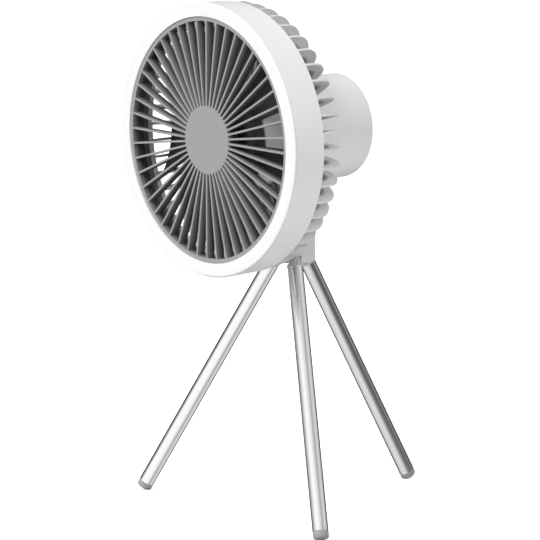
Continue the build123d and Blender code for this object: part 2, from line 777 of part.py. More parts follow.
bolt_shank = rod_x(tilt_bolt_radius, -seat_x - 2.2, seat_x, 0, tilt_height)
bolt_head = rod_x(bolt_head_radius, seat_x, seat_x + bolt_head_height, 0, tilt_height)
tilt_bolt = bolt_shank + bolt_head
socket = Pos(seat_x + 1, 0, tilt_height) * extrude(Plane.YZ * RegularPolygon(2.2, 6), 3)
save("tilt_bolt", stand * (tilt_bolt - socket))
nut = extrude(Plane.YZ.offset(-seat_x - bolt_head_height) * RegularPolygon(bolt_head_radius, 6),
              bolt_head_height)
nut = Pos(0, 0, tilt_height) * nut
save("tilt_nut", stand * (nut - rod_x(tilt_bolt_radius, -far, 0, 0, tilt_height)))
washers = []
caps = []
for side in (-1, 1):
    low, high = sorted((side * (cheek_inner - washer_thick), side * cheek_inner))
    ring = rod_x(washer_radius, low, high, 0, tilt_height)
    washers.append(ring - rod_x(tilt_bolt_radius + running_gap, low - 1, high + 1, 0, tilt_height))
    low, high = sorted((side * (cheek_half - cap_height), side * cheek_half))
    caps.append(rod_x(bolt_head_radius + 0.1, low, high, 0, tilt_height))
save("tilt_washers", *[stand * washer for washer in washers])
save("tilt_caps", *[stand * cap for cap in caps])

# ---- Neck -----------------------------------------------------------------------------
neck = rod_z(neck_radius, neck_base, neck_shoulder)
top_edges = neck.edges().filter_by(GeomType.CIRCLE).group_by(Axis.Z)[-1]
neck = fillet(top_edges, neck_round)
tongue = rod_x(tilt_radius, -tongue_half, tongue_half, 0, tilt_height)
tongue += block(-tongue_half, tongue_half, -tilt_radius, tilt_radius,
                neck_shoulder - 2, tilt_height)
tongue &= rod_z(neck_radius - 1.0, neck_base, axis_height)
neck += tongue
neck -= rod_x(tilt_bolt_radius + running_gap, -far, far, 0, tilt_height)
slot_half = knuckle_half + slot_gap
pin_half = slot_half + pin_grip
clear_radius = tube_outer + barrel_gap
slot_reach = 30.0
px, pz = leg_pivot_radius, leg_pivot_height
out = (sin(splay), -cos(splay))
side_out = (cos(splay), sin(splay))
slot_outline = Polyline(
    (px + clear_radius * side_out[0], pz + clear_radius * side_out[1]),
    (px + clear_radius * side_out[0] + slot_reach * out[0],
     pz + clear_radius * side_out[1] + slot_reach * out[1]),
    (px - clear_radius, pz - slot_reach),
    (px - clear_radius, pz),
    close=True,
)
slot = extrude(Plane.XZ * make_face(slot_outline), slot_half, both=True)
barrel_room = Cylinder(clear_radius, 2 * slot_half, rotation=(90, 0, 0))
slot += Pos(px, 0, pz) * barrel_room
pin_groove = block(px - pin_radius, px + pin_radius, -pin_half, pin_half, neck_base - 1, pz)
pin_room = Pos(px, 0, pz) * Cylinder(pin_radius, 2 * pin_half, rotation=(90, 0, 0))
for heading in leg_angles.values():
    neck -= [Rot(0, 0, heading) * cut for cut in (slot, pin_groove, pin_room)]
plate_top = neck_base + base_plate_thick
base_plate_radius = neck_radius - base_plate_inset
neck -= rod_z(base_plate_radius + fit_gap, neck_base - 1, plate_top)
neck -= rod_z(screw_radius, neck_base, neck_base + base_screw_length + 2)
save("neck", stand * neck)

base_plate = rod_z(base_plate_radius, neck_base, plate_top)
post_top = leg_pivot_height - pin_radius
for heading in leg_angles.values():
    for side in (-1, 1):
        low, high = sorted((side * (slot_half + 0.6), side * (pin_half - 0.2)))
        saddle = block(px - pin_radius + 0.1, px + pin_radius - 0.1, low, high,
                       plate_top - 0.5, post_top)
        base_plate += Rot(0, 0, heading) * saddle
for heading in leg_angles.values():
    base_plate -= Rot(0, 0, heading) * slot
base_plate -= rod_z(screw_radius + 0.1, neck_base - 1, plate_top + 1)
save("base_plate", stand * base_plate)
base_screw = rod_z(screw_radius, neck_base - 0.1, neck_base + base_screw_length)
base_screw += rod_z(screw_head_radius, neck_base - screw_head_height, neck_base)
save("base_screw", stand * base_screw)
pins = [
    Rot(0, 0, heading) * Pos(px, 0, pz) * Cylinder(pin_radius, 2 * pin_half - 0.2,
                                                  rotation=(90, 0, 0))
    for heading in leg_angles.values()
]
save("leg_pins", *[stand * pin for pin in pins])

# ---- Legs: knuckle, polished tube and rubber foot -------------------------------------
tube_start = tongue_length + collar_thick
tube_end = leg_length - foot_length
tube_bore = tube_outer - tube_wall
collar_radius = tube_outer + collar_step


def down_leg(radius, start, end):
    """A round bar along a leg, start and end measured from the leg's pivot."""
    return rod_z(radius, -end, -start)


barrel = Cylinder(tube_outer, 2 * knuckle_half, rotation=(90, 0, 0))
shank = block(-tube_outer, tube_outer, -knuckle_half, knuckle_half, -tongue_length, 0)
shank &= down_leg(tube_outer, -tube_outer, tongue_length)
collar = down_leg(collar_radius, tongue_length, tube_start)
knuckle = barrel + shank + collar + down_leg(tube_bore, tube_start - 0.5,
                                             tube_start + spigot_in_tube)
knuckle -= Cylinder(pin_radius + running_gap, 4 * knuckle_half, rotation=(90, 0, 0))
leg_tube = down_leg(tube_outer, tube_start, tube_end) - down_leg(tube_bore, tube_start - 1,
                                                                tube_end + 1)
foot = down_leg(tube_outer, tube_end, leg_length)
foot_rim = foot.edges().filter_by(GeomType.CIRCLE).group_by(Axis.Z)[0]
foot = fillet(foot_rim, foot_round)
foot += down_leg(tube_bore, tube_end - plug_length, tube_end + 0.5)
for name, heading in leg_angles.items():
    leg_place = stand * Rot(0, 0, heading) * Pos(px, 0, pz) * Rot(0, -leg_splay_angle, 0)
    save("leg_knuckle_" + name, leg_place * knuckle)
    save("leg_tube_" + name, leg_place * leg_tube)
    save("leg_foot_" + name, leg_place * foot)
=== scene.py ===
# %% [markdown]
# A camping fan that stands on three folding legs. The moulded and turned pieces arrive as a finished
# frame of solids, each riding on the body it moves with. This lesson gives those pieces their real
# finishes, models the small pieces that need soft or worn edges, and sets up a plain white studio.

# %% Load the frame
import math

import bpy
from mathutils import Matrix, Vector


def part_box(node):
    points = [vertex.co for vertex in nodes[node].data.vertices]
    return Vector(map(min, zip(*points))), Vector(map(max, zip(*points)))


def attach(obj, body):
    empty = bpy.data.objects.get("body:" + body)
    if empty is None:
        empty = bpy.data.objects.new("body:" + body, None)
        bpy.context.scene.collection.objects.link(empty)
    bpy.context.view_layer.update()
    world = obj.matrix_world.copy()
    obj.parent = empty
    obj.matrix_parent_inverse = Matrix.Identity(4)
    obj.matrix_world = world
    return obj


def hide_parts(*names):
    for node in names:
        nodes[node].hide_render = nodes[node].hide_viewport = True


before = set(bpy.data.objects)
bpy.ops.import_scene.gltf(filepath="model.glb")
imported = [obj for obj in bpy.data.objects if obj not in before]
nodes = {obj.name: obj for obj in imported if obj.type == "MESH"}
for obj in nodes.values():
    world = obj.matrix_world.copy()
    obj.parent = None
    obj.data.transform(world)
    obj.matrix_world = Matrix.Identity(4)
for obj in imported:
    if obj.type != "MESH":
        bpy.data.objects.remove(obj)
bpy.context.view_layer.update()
bpy.ops.object.select_all(action="DESELECT")

# %% [markdown]
# The fan's axis and its stand are used all through the lesson, so they are named once. The motor
# shaft lies on the axis, and the tripod's middle stands a little in front of the origin.

# %% Landmarks on the fan
shaft_low, shaft_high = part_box("motor_shaft")
AXIS_Z = (shaft_low.z + shaft_high.z) / 2
STAND_Y = -0.017874587
MM = 0.001
print("fan axis", round(AXIS_Z / MM, 2), "mm above the floor, stand at y", round(STAND_Y / MM, 2))

# %% [markdown]
# Colours are written as the hex values a painter would pick from a screen. Blender calculates in
# linear light, so one function turns each hex value into linear numbers.

# %% Colours


def paint(hex_text):
    """Linear RGBA from an sRGB hex value."""
    channels = [int(hex_text[i:i + 2], 16) / 255 for i in (1, 3, 5)]
    linear = [c / 12.92 if c <= 0.04045 else ((c + 0.055) / 1.055) ** 2.4 for c in channels]
    return (*linear, 1.0)


print("housing white is", [round(c, 3) for c in paint("#EFEFEE")])

# %% [markdown]
# Every finish is a small tree of shader nodes. Its patterns could be painted pictures, but here
# they are calculated from each piece's own coordinates: so they show no seams and stay on the piece
# as it moves. One helper makes an empty finish with its main shader, and another adds a node with
# its settings and its links.

# %% Helpers for finishes


def new_finish(name, **values):
    """A material with one Principled shader whose sockets are set by name."""
    finish = bpy.data.materials.new(name)
    finish.use_nodes = True
    tree = finish.node_tree
    tree.nodes.clear()
    shader = tree.nodes.new("ShaderNodeBsdfPrincipled")
    output = tree.nodes.new("ShaderNodeOutputMaterial")
    tree.links.new(shader.outputs[0], output.inputs["Surface"])
    for socket, value in values.items():
        shader.inputs[socket.replace("_", " ")].default_value = value
    return finish, shader


def add(finish, kind, links=(), **values):
    """Add a node. Values name its settings or sockets, links are (socket, output) pairs."""
    node = finish.node_tree.nodes.new("ShaderNode" + kind)
    for name, value in values.items():
        if hasattr(node, name):
            setattr(node, name, value)
        else:
            node.inputs[name.replace("_", " ")].default_value = value
    for socket, output in links:
        finish.node_tree.links.new(output, node.inputs[socket])
    return node


def link(finish, output, socket):
    finish.node_tree.links.new(output, socket)


def dress(finish, *names):
    """Give a finish to pieces of the frame."""
    for name in names:
        mesh = nodes[name].data
        mesh.materials.clear()
        mesh.materials.append(finish)
    print(finish.name, "on", ", ".join(names))


# %% [markdown]
# ## Camera
# The camera stands in front of the fan and to its right, a little above the table, and far away
# with a long lens, which keeps the drum round. Its distance and aim are in metres, the lens and
# its sensor in millimetres.

# %% Camera
CAMERA_TURN, CAMERA_RISE = math.radians(49.92), math.radians(10.27)
CAMERA_DISTANCE, AIM_HEIGHT, AIM_SHIFT = 2.1902, 0.15153, -0.0136
LENS, SENSOR = 229.98, 36
toward_camera = Vector((
    math.sin(CAMERA_TURN) * math.cos(CAMERA_RISE),
    -math.cos(CAMERA_TURN) * math.cos(CAMERA_RISE),
    math.sin(CAMERA_RISE),
))
camera_right = Vector((math.cos(CAMERA_TURN), math.sin(CAMERA_TURN), 0))
bpy.ops.object.camera_add()
camera = bpy.context.object
camera.name = "studio_camera"
camera.location = (toward_camera * CAMERA_DISTANCE + Vector((0, STAND_Y, AIM_HEIGHT))
                   + camera_right * AIM_SHIFT)
camera.rotation_mode = "QUATERNION"
camera.rotation_quaternion = (-toward_camera).to_track_quat("-Z", "Y")
camera.data.lens = LENS
camera.data.sensor_width = SENSOR
camera.data.clip_start = 0.05
camera.data.clip_end = 60
bpy.context.scene.camera = camera
print("camera at", [round(c, 3) for c in camera.location])

# %% [markdown]
# ## Floor
# The floor is a wide sheet of white paper. It is far larger than the fan, so its edges are never
# seen. The light that paper throws back is drawn by lamps of its own, in the next step, so the
# sheet itself is kept out of mirrors and bounces, and from below it is clear. Its fibres are drawn
# at 2.5 mm, longer than they are.

# %% Floor
FLOOR_SIZE, FLOOR_DROP = 40, 0.2 * MM
bpy.ops.mesh.primitive_plane_add(size=FLOOR_SIZE, location=(0, 0, -FLOOR_DROP))
floor = bpy.context.object
floor.name = "paper_floor"
for kind_of_ray in ("visible_diffuse", "visible_glossy", "visible_shadow"):
    setattr(floor, kind_of_ray, False)
paper, shader = new_finish("white_studio_paper", Roughness=0.9,
                           Emission_Color=paint("#FFFFFF"), Emission_Strength=0.5)
shader.inputs["Specular IOR Level"].default_value = 0.1
spot = add(paper, "TexCoord")
fibre = add(paper, "TexNoise", [("Vector", spot.outputs["Object"])], Scale=1 / (2.5 * MM),
            Detail=3.0)
tone = add(paper, "ValToRGB", [("Fac", fibre.outputs["Fac"])])
tone.color_ramp.elements[0].color = paint("#F6F6F6")
tone.color_ramp.elements[1].color = paint("#FAFAFA")
link(paper, tone.outputs["Color"], shader.inputs["Base Color"])
side_seen = add(paper, "NewGeometry")
clear = add(paper, "BsdfTransparent")
one_sided = add(paper, "MixShader", [(0, side_seen.outputs["Backfacing"]),
                                     (1, shader.outputs[0]), (2, clear.outputs[0])])
link(paper, one_sided.outputs[0], paper.node_tree.nodes["Material Output"].inputs["Surface"])
floor.data.materials.append(paper)
print("floor", floor.dimensions[:])

# %% [markdown]
# ## Light
# The lamps are suns with a wide angle, which gives them the soft edge of a large softbox. The first
# three light the front: one from its left at the height of the fan, one from above, and one from
# high on the right. The next two shine upwards and stand for the light that white paper throws
# back: an even glow would do that too, but light with a direction lets each rib of the guard shade
# the next one. The last fills the back. None is mirrored in the polished legs, because a round sun
# in a mirror looks like a lamp and not like a room.

# %% Soft lights


def soft_light(name, toward, strength, width_degrees):
    """A wide sun lamp that shines from a direction. Strength 1 makes white paper white."""
    bpy.ops.object.light_add(type="SUN", location=(0, 0, 2))
    lamp = bpy.context.object
    lamp.name = name
    lamp.data.energy = strength * math.pi
    lamp.data.angle = math.radians(width_degrees)
    lamp.rotation_mode = "QUATERNION"
    lamp.rotation_quaternion = (-Vector(toward)).to_track_quat("-Z", "Y")
    print(name, "strength", strength)
    return lamp


lamps = [
    soft_light("front_key", (-0.65, -1.0, 0.05), 0.5, 25),
    soft_light("front_top", (0.0, -1.0, 1.0), 0.575, 25),
    soft_light("side_top", (0.7, -0.5, 0.5), 0.18, 25),
    soft_light("paper_bounce", (0.0, 0.0, -1.0), 0.286, 25),
    soft_light("paper_bounce_side", (0.6, 0.0, -0.8), 0.306, 25),
    soft_light("rear_fill", (-0.45, 1.0, 0.15), 0.62, 40),
]
for lamp in lamps:
    lamp.visible_glossy = False

# %% [markdown]
# The room is drawn with broad glows, each brightest in one direction. Real screens of paper could
# stand there, but they would be in the way when the fan is seen from another side. A glow compares
# each direction with its own, and rises smoothly from dim to bright.

# %% Glows of the room
scene = bpy.context.scene
room = bpy.data.worlds.new("soft_room")
scene.world = room
room.use_nodes = True
room.node_tree.nodes.clear()
where = add(room, "TexCoord")


def glow(direction, dark_at, bright_at, strength, dim=0.0):
    """Brightness of the room that rises from dim towards one direction."""
    facing = add(room, "VectorMath", [(0, where.outputs["Generated"])], operation="DOT_PRODUCT")
    facing.inputs[1].default_value = Vector(direction).normalized()
    rise = add(room, "MapRange", [("Value", facing.outputs["Value"])],
               interpolation_type="SMOOTHSTEP",
               **{"From Min": dark_at, "From Max": bright_at, "To Min": dim, "To Max": dim + strength})
    return rise.outputs["Result"]


def together(*outputs):
    """The sum of several brightness values."""
    total = outputs[0]
    for output in outputs[1:]:
        total = add(room, "Math", [(0, total), (1, output)], operation="ADD").outputs[0]
    return total


print("room:", room.name)

# %% [markdown]
# Matt surfaces are lit by one quiet glow, high on the right, so the lamps can shape them. Polished
# metal mirrors a second set: wide screens in front, a ceiling, and two small ones behind on the
# right. The dim gaps between them turn into the thin dark lines along the legs. The camera itself
# sees plain white.

# %% Room
quiet = glow((1.0, 0.2, 1.0), -0.1, 1.0, 0.69)
mirrored = together(
    glow((0.38, -0.92, 0.0), 0.0, 0.9, 0.62, dim=0.02),
    glow((0.0, -0.91, -0.42), 0.0, 0.9, 0.51),
    glow((-0.62, -0.65, -0.44), 0.74, 1.0, 0.42),
    glow((0.15, 0.09, 0.98), -0.2, 0.9, 0.4),
    glow((0.53, 0.73, 0.42), 0.75, 1.0, 0.44),
    glow((0.38, 0.52, -0.77), 0.75, 1.0, 0.77),
)
matt_room = add(room, "Background", Color=paint("#FFFFFF"))
link(room, quiet, matt_room.inputs["Strength"])
shiny_room = add(room, "Background", Color=paint("#FFFFFF"))
link(room, mirrored, shiny_room.inputs["Strength"])
backdrop = add(room, "Background", Color=paint("#FFFFFF"))
ray = add(room, "LightPath")
lit = add(room, "MixShader", [(0, ray.outputs["Is Glossy Ray"]), (1, matt_room.outputs[0]),
                              (2, shiny_room.outputs[0])])
seen = add(room, "MixShader", [(0, ray.outputs["Is Camera Ray"]), (1, lit.outputs[0]),
                               (2, backdrop.outputs[0])])
add(room, "OutputWorld", [("Surface", seen.outputs[0])])
print("room has", len(room.node_tree.nodes), "nodes")
scene.view_settings.view_transform = "Standard"

# %% [markdown]
# ## White moulded shells
# The drum's side shell, the ribbed guard, the battery housing, the neck and the tilt yoke are
# injection moulded in white ABS. The mould is spark eroded, which leaves a very fine grain and a
# satin face. The real grain is about 0.05 mm, too fine to show, so it is drawn at 0.5 mm.

# %% White ABS


def moulded_white(name, darker, lighter):
    """Satin white ABS whose tone drifts a little over the moulding."""
    abs_white, shader = new_finish(name, Roughness=0.42, IOR=1.53)
    spot = add(abs_white, "TexCoord")
    grain = add(abs_white, "TexNoise", [("Vector", spot.outputs["Object"])],
                Scale=1 / (0.5 * MM), Detail=2.0, Roughness=0.6)
    flow = add(abs_white, "TexNoise", [("Vector", spot.outputs["Object"])],
               Scale=1 / (40 * MM), Detail=2.0)
    tone = add(abs_white, "ValToRGB", [("Fac", flow.outputs["Fac"])])
    tone.color_ramp.elements[0].position = 0.3
    tone.color_ramp.elements[0].color = paint(darker)
    tone.color_ramp.elements[1].position = 0.7
    tone.color_ramp.elements[1].color = paint(lighter)
    link(abs_white, tone.outputs["Color"], shader.inputs["Base Color"])
    satin = add(abs_white, "MapRange", [("Value", grain.outputs["Fac"])],
                **{"To Min": 0.36, "To Max": 0.5})
    link(abs_white, satin.outputs["Result"], shader.inputs["Roughness"])
    bump = add(abs_white, "Bump", [("Height", grain.outputs["Fac"])], Strength=0.06,
               Distance=0.1 * MM)
    link(abs_white, bump.outputs["Normal"], shader.inputs["Normal"])
    return abs_white


shell_abs = moulded_white("bright_white_abs", "#F5F5F4", "#F8F8F7")
white_abs = moulded_white("satin_white_abs", "#E8E8E7", "#ECECEB")
dress(shell_abs, "side_shell")
dress(white_abs, "battery_housing", "neck", "tilt_yoke", "base_plate")

# %% [markdown]
# The guard is moulded in the same ABS. Its ring and the inner edges of its ribs are deep in the fan,
# where little light arrives, so shade is painted into its colour: a copy of the shell's that turns
# greyer the further a point lies inside the guard's rounded outline, and all over the ring. That
# depth is the outline's corner radius less the distance to the corner's centre line. The motor cup
# in the middle gets no painted shade and stays white.

# %% White ABS with painted shade inside the guard
GUARD_ROUND, RING_END, CUP_END = 16 * MM, 10.2 * MM, 33.2 * MM
# Depths inside the outline where the painted shade starts and where it is full.
UNSHADED_DEPTH, FULL_SHADE_DEPTH = 5 * MM, 8.5 * MM
guard_low, guard_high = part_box("rear_guard")
guard_abs = white_abs.copy()
guard_abs.name = "satin_white_abs_guard_painted_shade"
shader = guard_abs.node_tree.nodes["Principled BSDF"]
tone = shader.inputs["Base Color"].links[0].from_node
spot = add(guard_abs, "TexCoord")
place = add(guard_abs, "SeparateXYZ", [("Vector", spot.outputs["Object"])])
ring_end = add(guard_abs, "MapRange", [("Value", place.outputs["Y"])],
               **{"From Min": guard_low.y + RING_END, "From Max": guard_low.y + RING_END + 0.5 * MM,
                  "To Min": 1.0, "To Max": 0.0})
across = add(guard_abs, "CombineXYZ", [("X", place.outputs["X"]), ("Y", place.outputs["Z"])])
reach = add(guard_abs, "VectorMath", [(0, across.outputs["Vector"])], operation="DISTANCE")
reach.inputs[1].default_value = (0.0, AXIS_Z, 0.0)
section = add(guard_abs, "CombineXYZ", [("X", reach.outputs["Value"]), ("Y", place.outputs["Y"])])
from_corner = add(guard_abs, "VectorMath", [(0, section.outputs["Vector"])], operation="SUBTRACT")
from_corner.inputs[1].default_value = (guard_high.x - GUARD_ROUND, guard_high.y - GUARD_ROUND, 0.0)
outward = add(guard_abs, "VectorMath", [(0, from_corner.outputs["Vector"])], operation="MAXIMUM")
outward.inputs[1].default_value = (0.0, 0.0, 0.0)
corner_reach = add(guard_abs, "VectorMath", [(0, outward.outputs["Vector"])], operation="LENGTH")
deep = add(guard_abs, "MapRange", [("Value", corner_reach.outputs["Value"])],
           interpolation_type="SMOOTHSTEP",
           **{"From Min": GUARD_ROUND - FULL_SHADE_DEPTH, "From Max": GUARD_ROUND - UNSHADED_DEPTH,
              "To Min": 1.0, "To Max": 0.0})
past_cup = add(guard_abs, "MapRange", [("Value", reach.outputs["Value"])],
               **{"From Min": CUP_END, "From Max": CUP_END + 1 * MM})
deep_ribs = add(guard_abs, "Math", [(0, deep.outputs["Result"]), (1, past_cup.outputs["Result"])],
                operation="MULTIPLY")
painted_shade_mask = add(guard_abs, "Math", [(0, ring_end.outputs["Result"]), (1, deep_ribs.outputs[0])],
             operation="MAXIMUM")
# Painted shade: mid grey over the ring's bore and the inner edges of the ribs, none on the motor cup.
shaded = add(guard_abs, "MixRGB", [("Fac", painted_shade_mask.outputs[0]), ("Color1", tone.outputs["Color"])],
             Color2=paint("#808080"))
link(guard_abs, shaded.outputs["Color"], shader.inputs["Base Color"])
dress(guard_abs, "rear_guard")

# %% [markdown]
# ## Opal light ring
# The ring round the front is moulded in opal polycarbonate, which scatters light inside itself.
# Subsurface scattering gives it that milky depth, and its face is smoother than the shells. The
# frosting is finer than can be seen, so it is drawn at 0.8 mm.

# %% Opal polycarbonate
opal, shader = new_finish("opal_polycarbonate", Roughness=0.3, IOR=1.58,
                          Base_Color=paint("#F9F9F8"))
shader.inputs["Subsurface Weight"].default_value = 0.3
shader.inputs["Subsurface Scale"].default_value = 2 * MM
shader.inputs["Subsurface Radius"].default_value = (1.0, 0.95, 0.9)
spot = add(opal, "TexCoord")
frost = add(opal, "TexNoise", [("Vector", spot.outputs["Object"])], Scale=1 / (0.8 * MM), Detail=1.0)
satin = add(opal, "MapRange", [("Value", frost.outputs["Fac"])], **{"To Min": 0.25, "To Max": 0.36})
link(opal, satin.outputs["Result"], shader.inputs["Roughness"])
dress(opal, "light_ring")

# %% [markdown]
# ## Grey grille
# The front grille is one moulding in mid grey ABS, with the same spark eroded grain as the shells.
# Its fins turn darker over their first millimetres: painted shade, where light is lost between them.

# %% Grey ABS
grey_abs, shader = new_finish("satin_grey_abs_painted_shade", Roughness=0.45, IOR=1.53)
spot = add(grey_abs, "TexCoord")
grain = add(grey_abs, "TexNoise", [("Vector", spot.outputs["Object"])],
            Scale=1 / (0.5 * MM), Detail=2.0, Roughness=0.6)
tone = add(grey_abs, "ValToRGB", [("Fac", grain.outputs["Fac"])])
tone.color_ramp.elements[0].position = 0.3
tone.color_ramp.elements[0].color = paint("#9B9B9B")
tone.color_ramp.elements[1].position = 0.7
tone.color_ramp.elements[1].color = paint("#A1A1A1")
# Painted shade: the fins' grey turns to dark grey from 0.3 mm to 4.5 mm behind the grille's front.
FIN_UNSHADED, FIN_FULL_SHADE = 0.3 * MM, 4.5 * MM
grille_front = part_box("front_grille")[0].y
place = add(grey_abs, "SeparateXYZ", [("Vector", spot.outputs["Object"])])
depth = add(grey_abs, "MapRange", [("Value", place.outputs["Y"])],
            **{"From Min": grille_front + FIN_UNSHADED, "From Max": grille_front + FIN_FULL_SHADE})
shaded = add(grey_abs, "MixRGB", [("Fac", depth.outputs["Result"]),
                                  ("Color1", tone.outputs["Color"])], Color2=paint("#4C4C4D"))
link(grey_abs, shaded.outputs["Color"], shader.inputs["Base Color"])
bump = add(grey_abs, "Bump", [("Height", grain.outputs["Fac"])], Strength=0.08, Distance=0.1 * MM)
link(grey_abs, bump.outputs["Normal"], shader.inputs["Normal"])
dress(grey_abs, "front_grille")

# %% [markdown]
# ## Dark impeller
# The impeller is glass filled nylon in charcoal. The glass makes it slightly streaky and less
# glossy than the shells.

# %% Charcoal nylon
nylon, shader = new_finish("charcoal_glass_nylon", Roughness=0.5, IOR=1.53)
spot = add(nylon, "TexCoord")
streak = add(nylon, "TexNoise", [("Vector", spot.outputs["Object"])],
             Scale=1 / (1.5 * MM), Detail=3.0, Distortion=0.6)
tone = add(nylon, "ValToRGB", [("Fac", streak.outputs["Fac"])])
tone.color_ramp.elements[0].position = 0.3
tone.color_ramp.elements[0].color = paint("#333335")
tone.color_ramp.elements[1].position = 0.75
tone.color_ramp.elements[1].color = paint("#3E3E41")
link(nylon, tone.outputs["Color"], shader.inputs["Base Color"])
dress(nylon, "impeller")

# %% [markdown]
# ## Rear panel
# The rear panel carries the controls and is moulded in ABS of a slightly cooler grey white, with
# the grain of the shells.

# %% Panel ABS
panel_abs, shader = new_finish("satin_panel_abs", Roughness=0.4, IOR=1.53)
spot = add(panel_abs, "TexCoord")
grain = add(panel_abs, "TexNoise", [("Vector", spot.outputs["Object"])],
            Scale=1 / (0.5 * MM), Detail=2.0)
tone = add(panel_abs, "ValToRGB", [("Fac", grain.outputs["Fac"])])
tone.color_ramp.elements[0].position = 0.3
tone.color_ramp.elements[0].color = paint("#D6D7D8")
tone.color_ramp.elements[1].position = 0.7
tone.color_ramp.elements[1].color = paint("#DADBDC")
link(panel_abs, tone.outputs["Color"], shader.inputs["Base Color"])
bump = add(panel_abs, "Bump", [("Height", grain.outputs["Fac"])], Strength=0.06, Distance=0.1 * MM)
link(panel_abs, bump.outputs["Normal"], shader.inputs["Normal"])
dress(panel_abs, "rear_panel")

# %% [markdown]
# ## Legs
# Each leg is a drawn aluminium tube, polished bright. Drawing leaves faint lines along the tube, so
# the noise is stretched along each leg's own direction, and every leg has its own turned copy. The
# real lines are finer than 0.1 mm, so they are drawn at 0.6 mm.

# %% Polished aluminium tubes
LEG_HEADINGS = {"right": -30.0, "rear": 90.0, "left": 210.0}
LEG_SPLAY = math.radians(30)
for leg, heading in LEG_HEADINGS.items():
    bright, shader = new_finish("polished_aluminium_" + leg, Metallic=1.0, Roughness=0.18,
                                Base_Color=paint("#EBEBEB"))
    spot = add(bright, "TexCoord")
    turn = add(bright, "Mapping", [("Vector", spot.outputs["Object"])], vector_type="TEXTURE")
    turn.inputs["Rotation"].default_value = (0, -LEG_SPLAY, math.radians(heading))
    turn.inputs["Scale"].default_value = (1, 1, 60)
    lines = add(bright, "TexNoise", [("Vector", turn.outputs["Vector"])],
                Scale=1 / (0.6 * MM), Detail=2.0)
    satin = add(bright, "MapRange", [("Value", lines.outputs["Fac"])],
                **{"To Min": 0.18, "To Max": 0.24})
    link(bright, satin.outputs["Result"], shader.inputs["Roughness"])
    dress(bright, "leg_tube_" + leg)

# %% [markdown]
# The knuckles at the top of the legs and the collars are light grey acetal, and the feet are soft
# grey rubber with a dull, slightly dusty face, with shade painted dark grey on its sole where it
# meets the floor. Moulding leaves both a mottled skin, which is drawn at about a millimetre to show.

# %% Knuckles and feet
acetal, shader = new_finish("light_grey_acetal", Roughness=0.38, IOR=1.48,
                            Base_Color=paint("#CFCFCF"))
spot = add(acetal, "TexCoord")
grain = add(acetal, "TexNoise", [("Vector", spot.outputs["Object"])], Scale=1 / (0.7 * MM))
satin = add(acetal, "MapRange", [("Value", grain.outputs["Fac"])],
            **{"To Min": 0.32, "To Max": 0.46})
link(acetal, satin.outputs["Result"], shader.inputs["Roughness"])
dress(acetal, *["leg_knuckle_" + leg for leg in LEG_HEADINGS])

# Painted shade: the rubber turns dark grey over the lowest 2.4 mm of each foot, next to the floor.
SOLE_FULL_SHADE, SOLE_UNSHADED = 0.2 * MM, 2.4 * MM
rubber, shader = new_finish("soft_grey_rubber", Roughness=0.8, IOR=1.52)
shader.inputs["Specular IOR Level"].default_value = 0.3
spot = add(rubber, "TexCoord")
dust = add(rubber, "TexNoise", [("Vector", spot.outputs["Object"])], Scale=1 / (1.2 * MM), Detail=3.0)
tone = add(rubber, "ValToRGB", [("Fac", dust.outputs["Fac"])])
tone.color_ramp.elements[0].color = paint("#9A9A9A")
tone.color_ramp.elements[1].color = paint("#A8A8A8")
place = add(rubber, "SeparateXYZ", [("Vector", spot.outputs["Object"])])
sole = add(rubber, "MapRange", [("Value", place.outputs["Z"])],
           **{"From Min": SOLE_FULL_SHADE, "From Max": SOLE_UNSHADED, "To Min": 1.0, "To Max": 0.0})
sole_shade = add(rubber, "MixRGB", [("Fac", sole.outputs["Result"]), ("Color1", tone.outputs["Color"])],
           Color2=paint("#5C5C5C"))
link(rubber, sole_shade.outputs["Color"], shader.inputs["Base Color"])
bump = add(rubber, "Bump", [("Height", dust.outputs["Fac"])], Strength=0.15, Distance=0.1 * MM)
link(rubber, bump.outputs["Normal"], shader.inputs["Normal"])

# %% [markdown]
# ## Metal hardware
# Screws, pins, the tilt bolt and its nut are zinc plated steel: a bluish grey metal with a soft,
# slightly cloudy sheen. The motor's can is nickel plated, which is warmer and smoother. The shaft
# and the bearings are ground, and the charging socket's shell is bright stainless. All four share
# one recipe: a metal whose roughness wanders a little.

# %% Four metals


def cloudy_metal(name, colour, smooth, rough, cloud_size):
    """A metal with a soft sheen that varies over a cloud of the given size in metres."""
    metal, shader = new_finish(name, Metallic=1.0, Base_Color=paint(colour))
    spot = add(metal, "TexCoord")
    cloud = add(metal, "TexNoise", [("Vector", spot.outputs["Object"])],
                Scale=1 / cloud_size, Detail=3.0)
    satin = add(metal, "MapRange", [("Value", cloud.outputs["Fac"])],
                **{"To Min": smooth, "To Max": rough})
    link(metal, satin.outputs["Result"], shader.inputs["Roughness"])
    return metal


zinc = cloudy_metal("zinc_plated_steel", "#BFC2C6", 0.22, 0.42, 2.5 * MM)
nickel = cloudy_metal("nickel_plated_steel", "#C9C6C0", 0.14, 0.26, 4 * MM)
ground = cloudy_metal("ground_bearing_steel", "#CDCFD1", 0.1, 0.18, 1 * MM)
stainless = cloudy_metal("bright_stainless_steel", "#D6D7D9", 0.16, 0.28, 3 * MM)
dress(zinc, "leg_pins", "tilt_bolt", "tilt_nut")
dress(nickel, "rotor_can")
dress(ground, "motor_shaft", "shaft_bearings", "bearing_tube")

# %% [markdown]
# ## Inside the motor
# The stator is a stack of thin stamped sheets of electrical steel, so its sides show fine lines
# across the shaft. The real sheets are 0.5 mm thick, and they are drawn at that size. The coils are
# enamelled copper wire, 0.4 mm thick, and the magnet is sintered ferrite, a dull black ceramic
# whose grains are drawn at 0.4 mm, far coarser than they are.

# %% Stator, coils and magnet


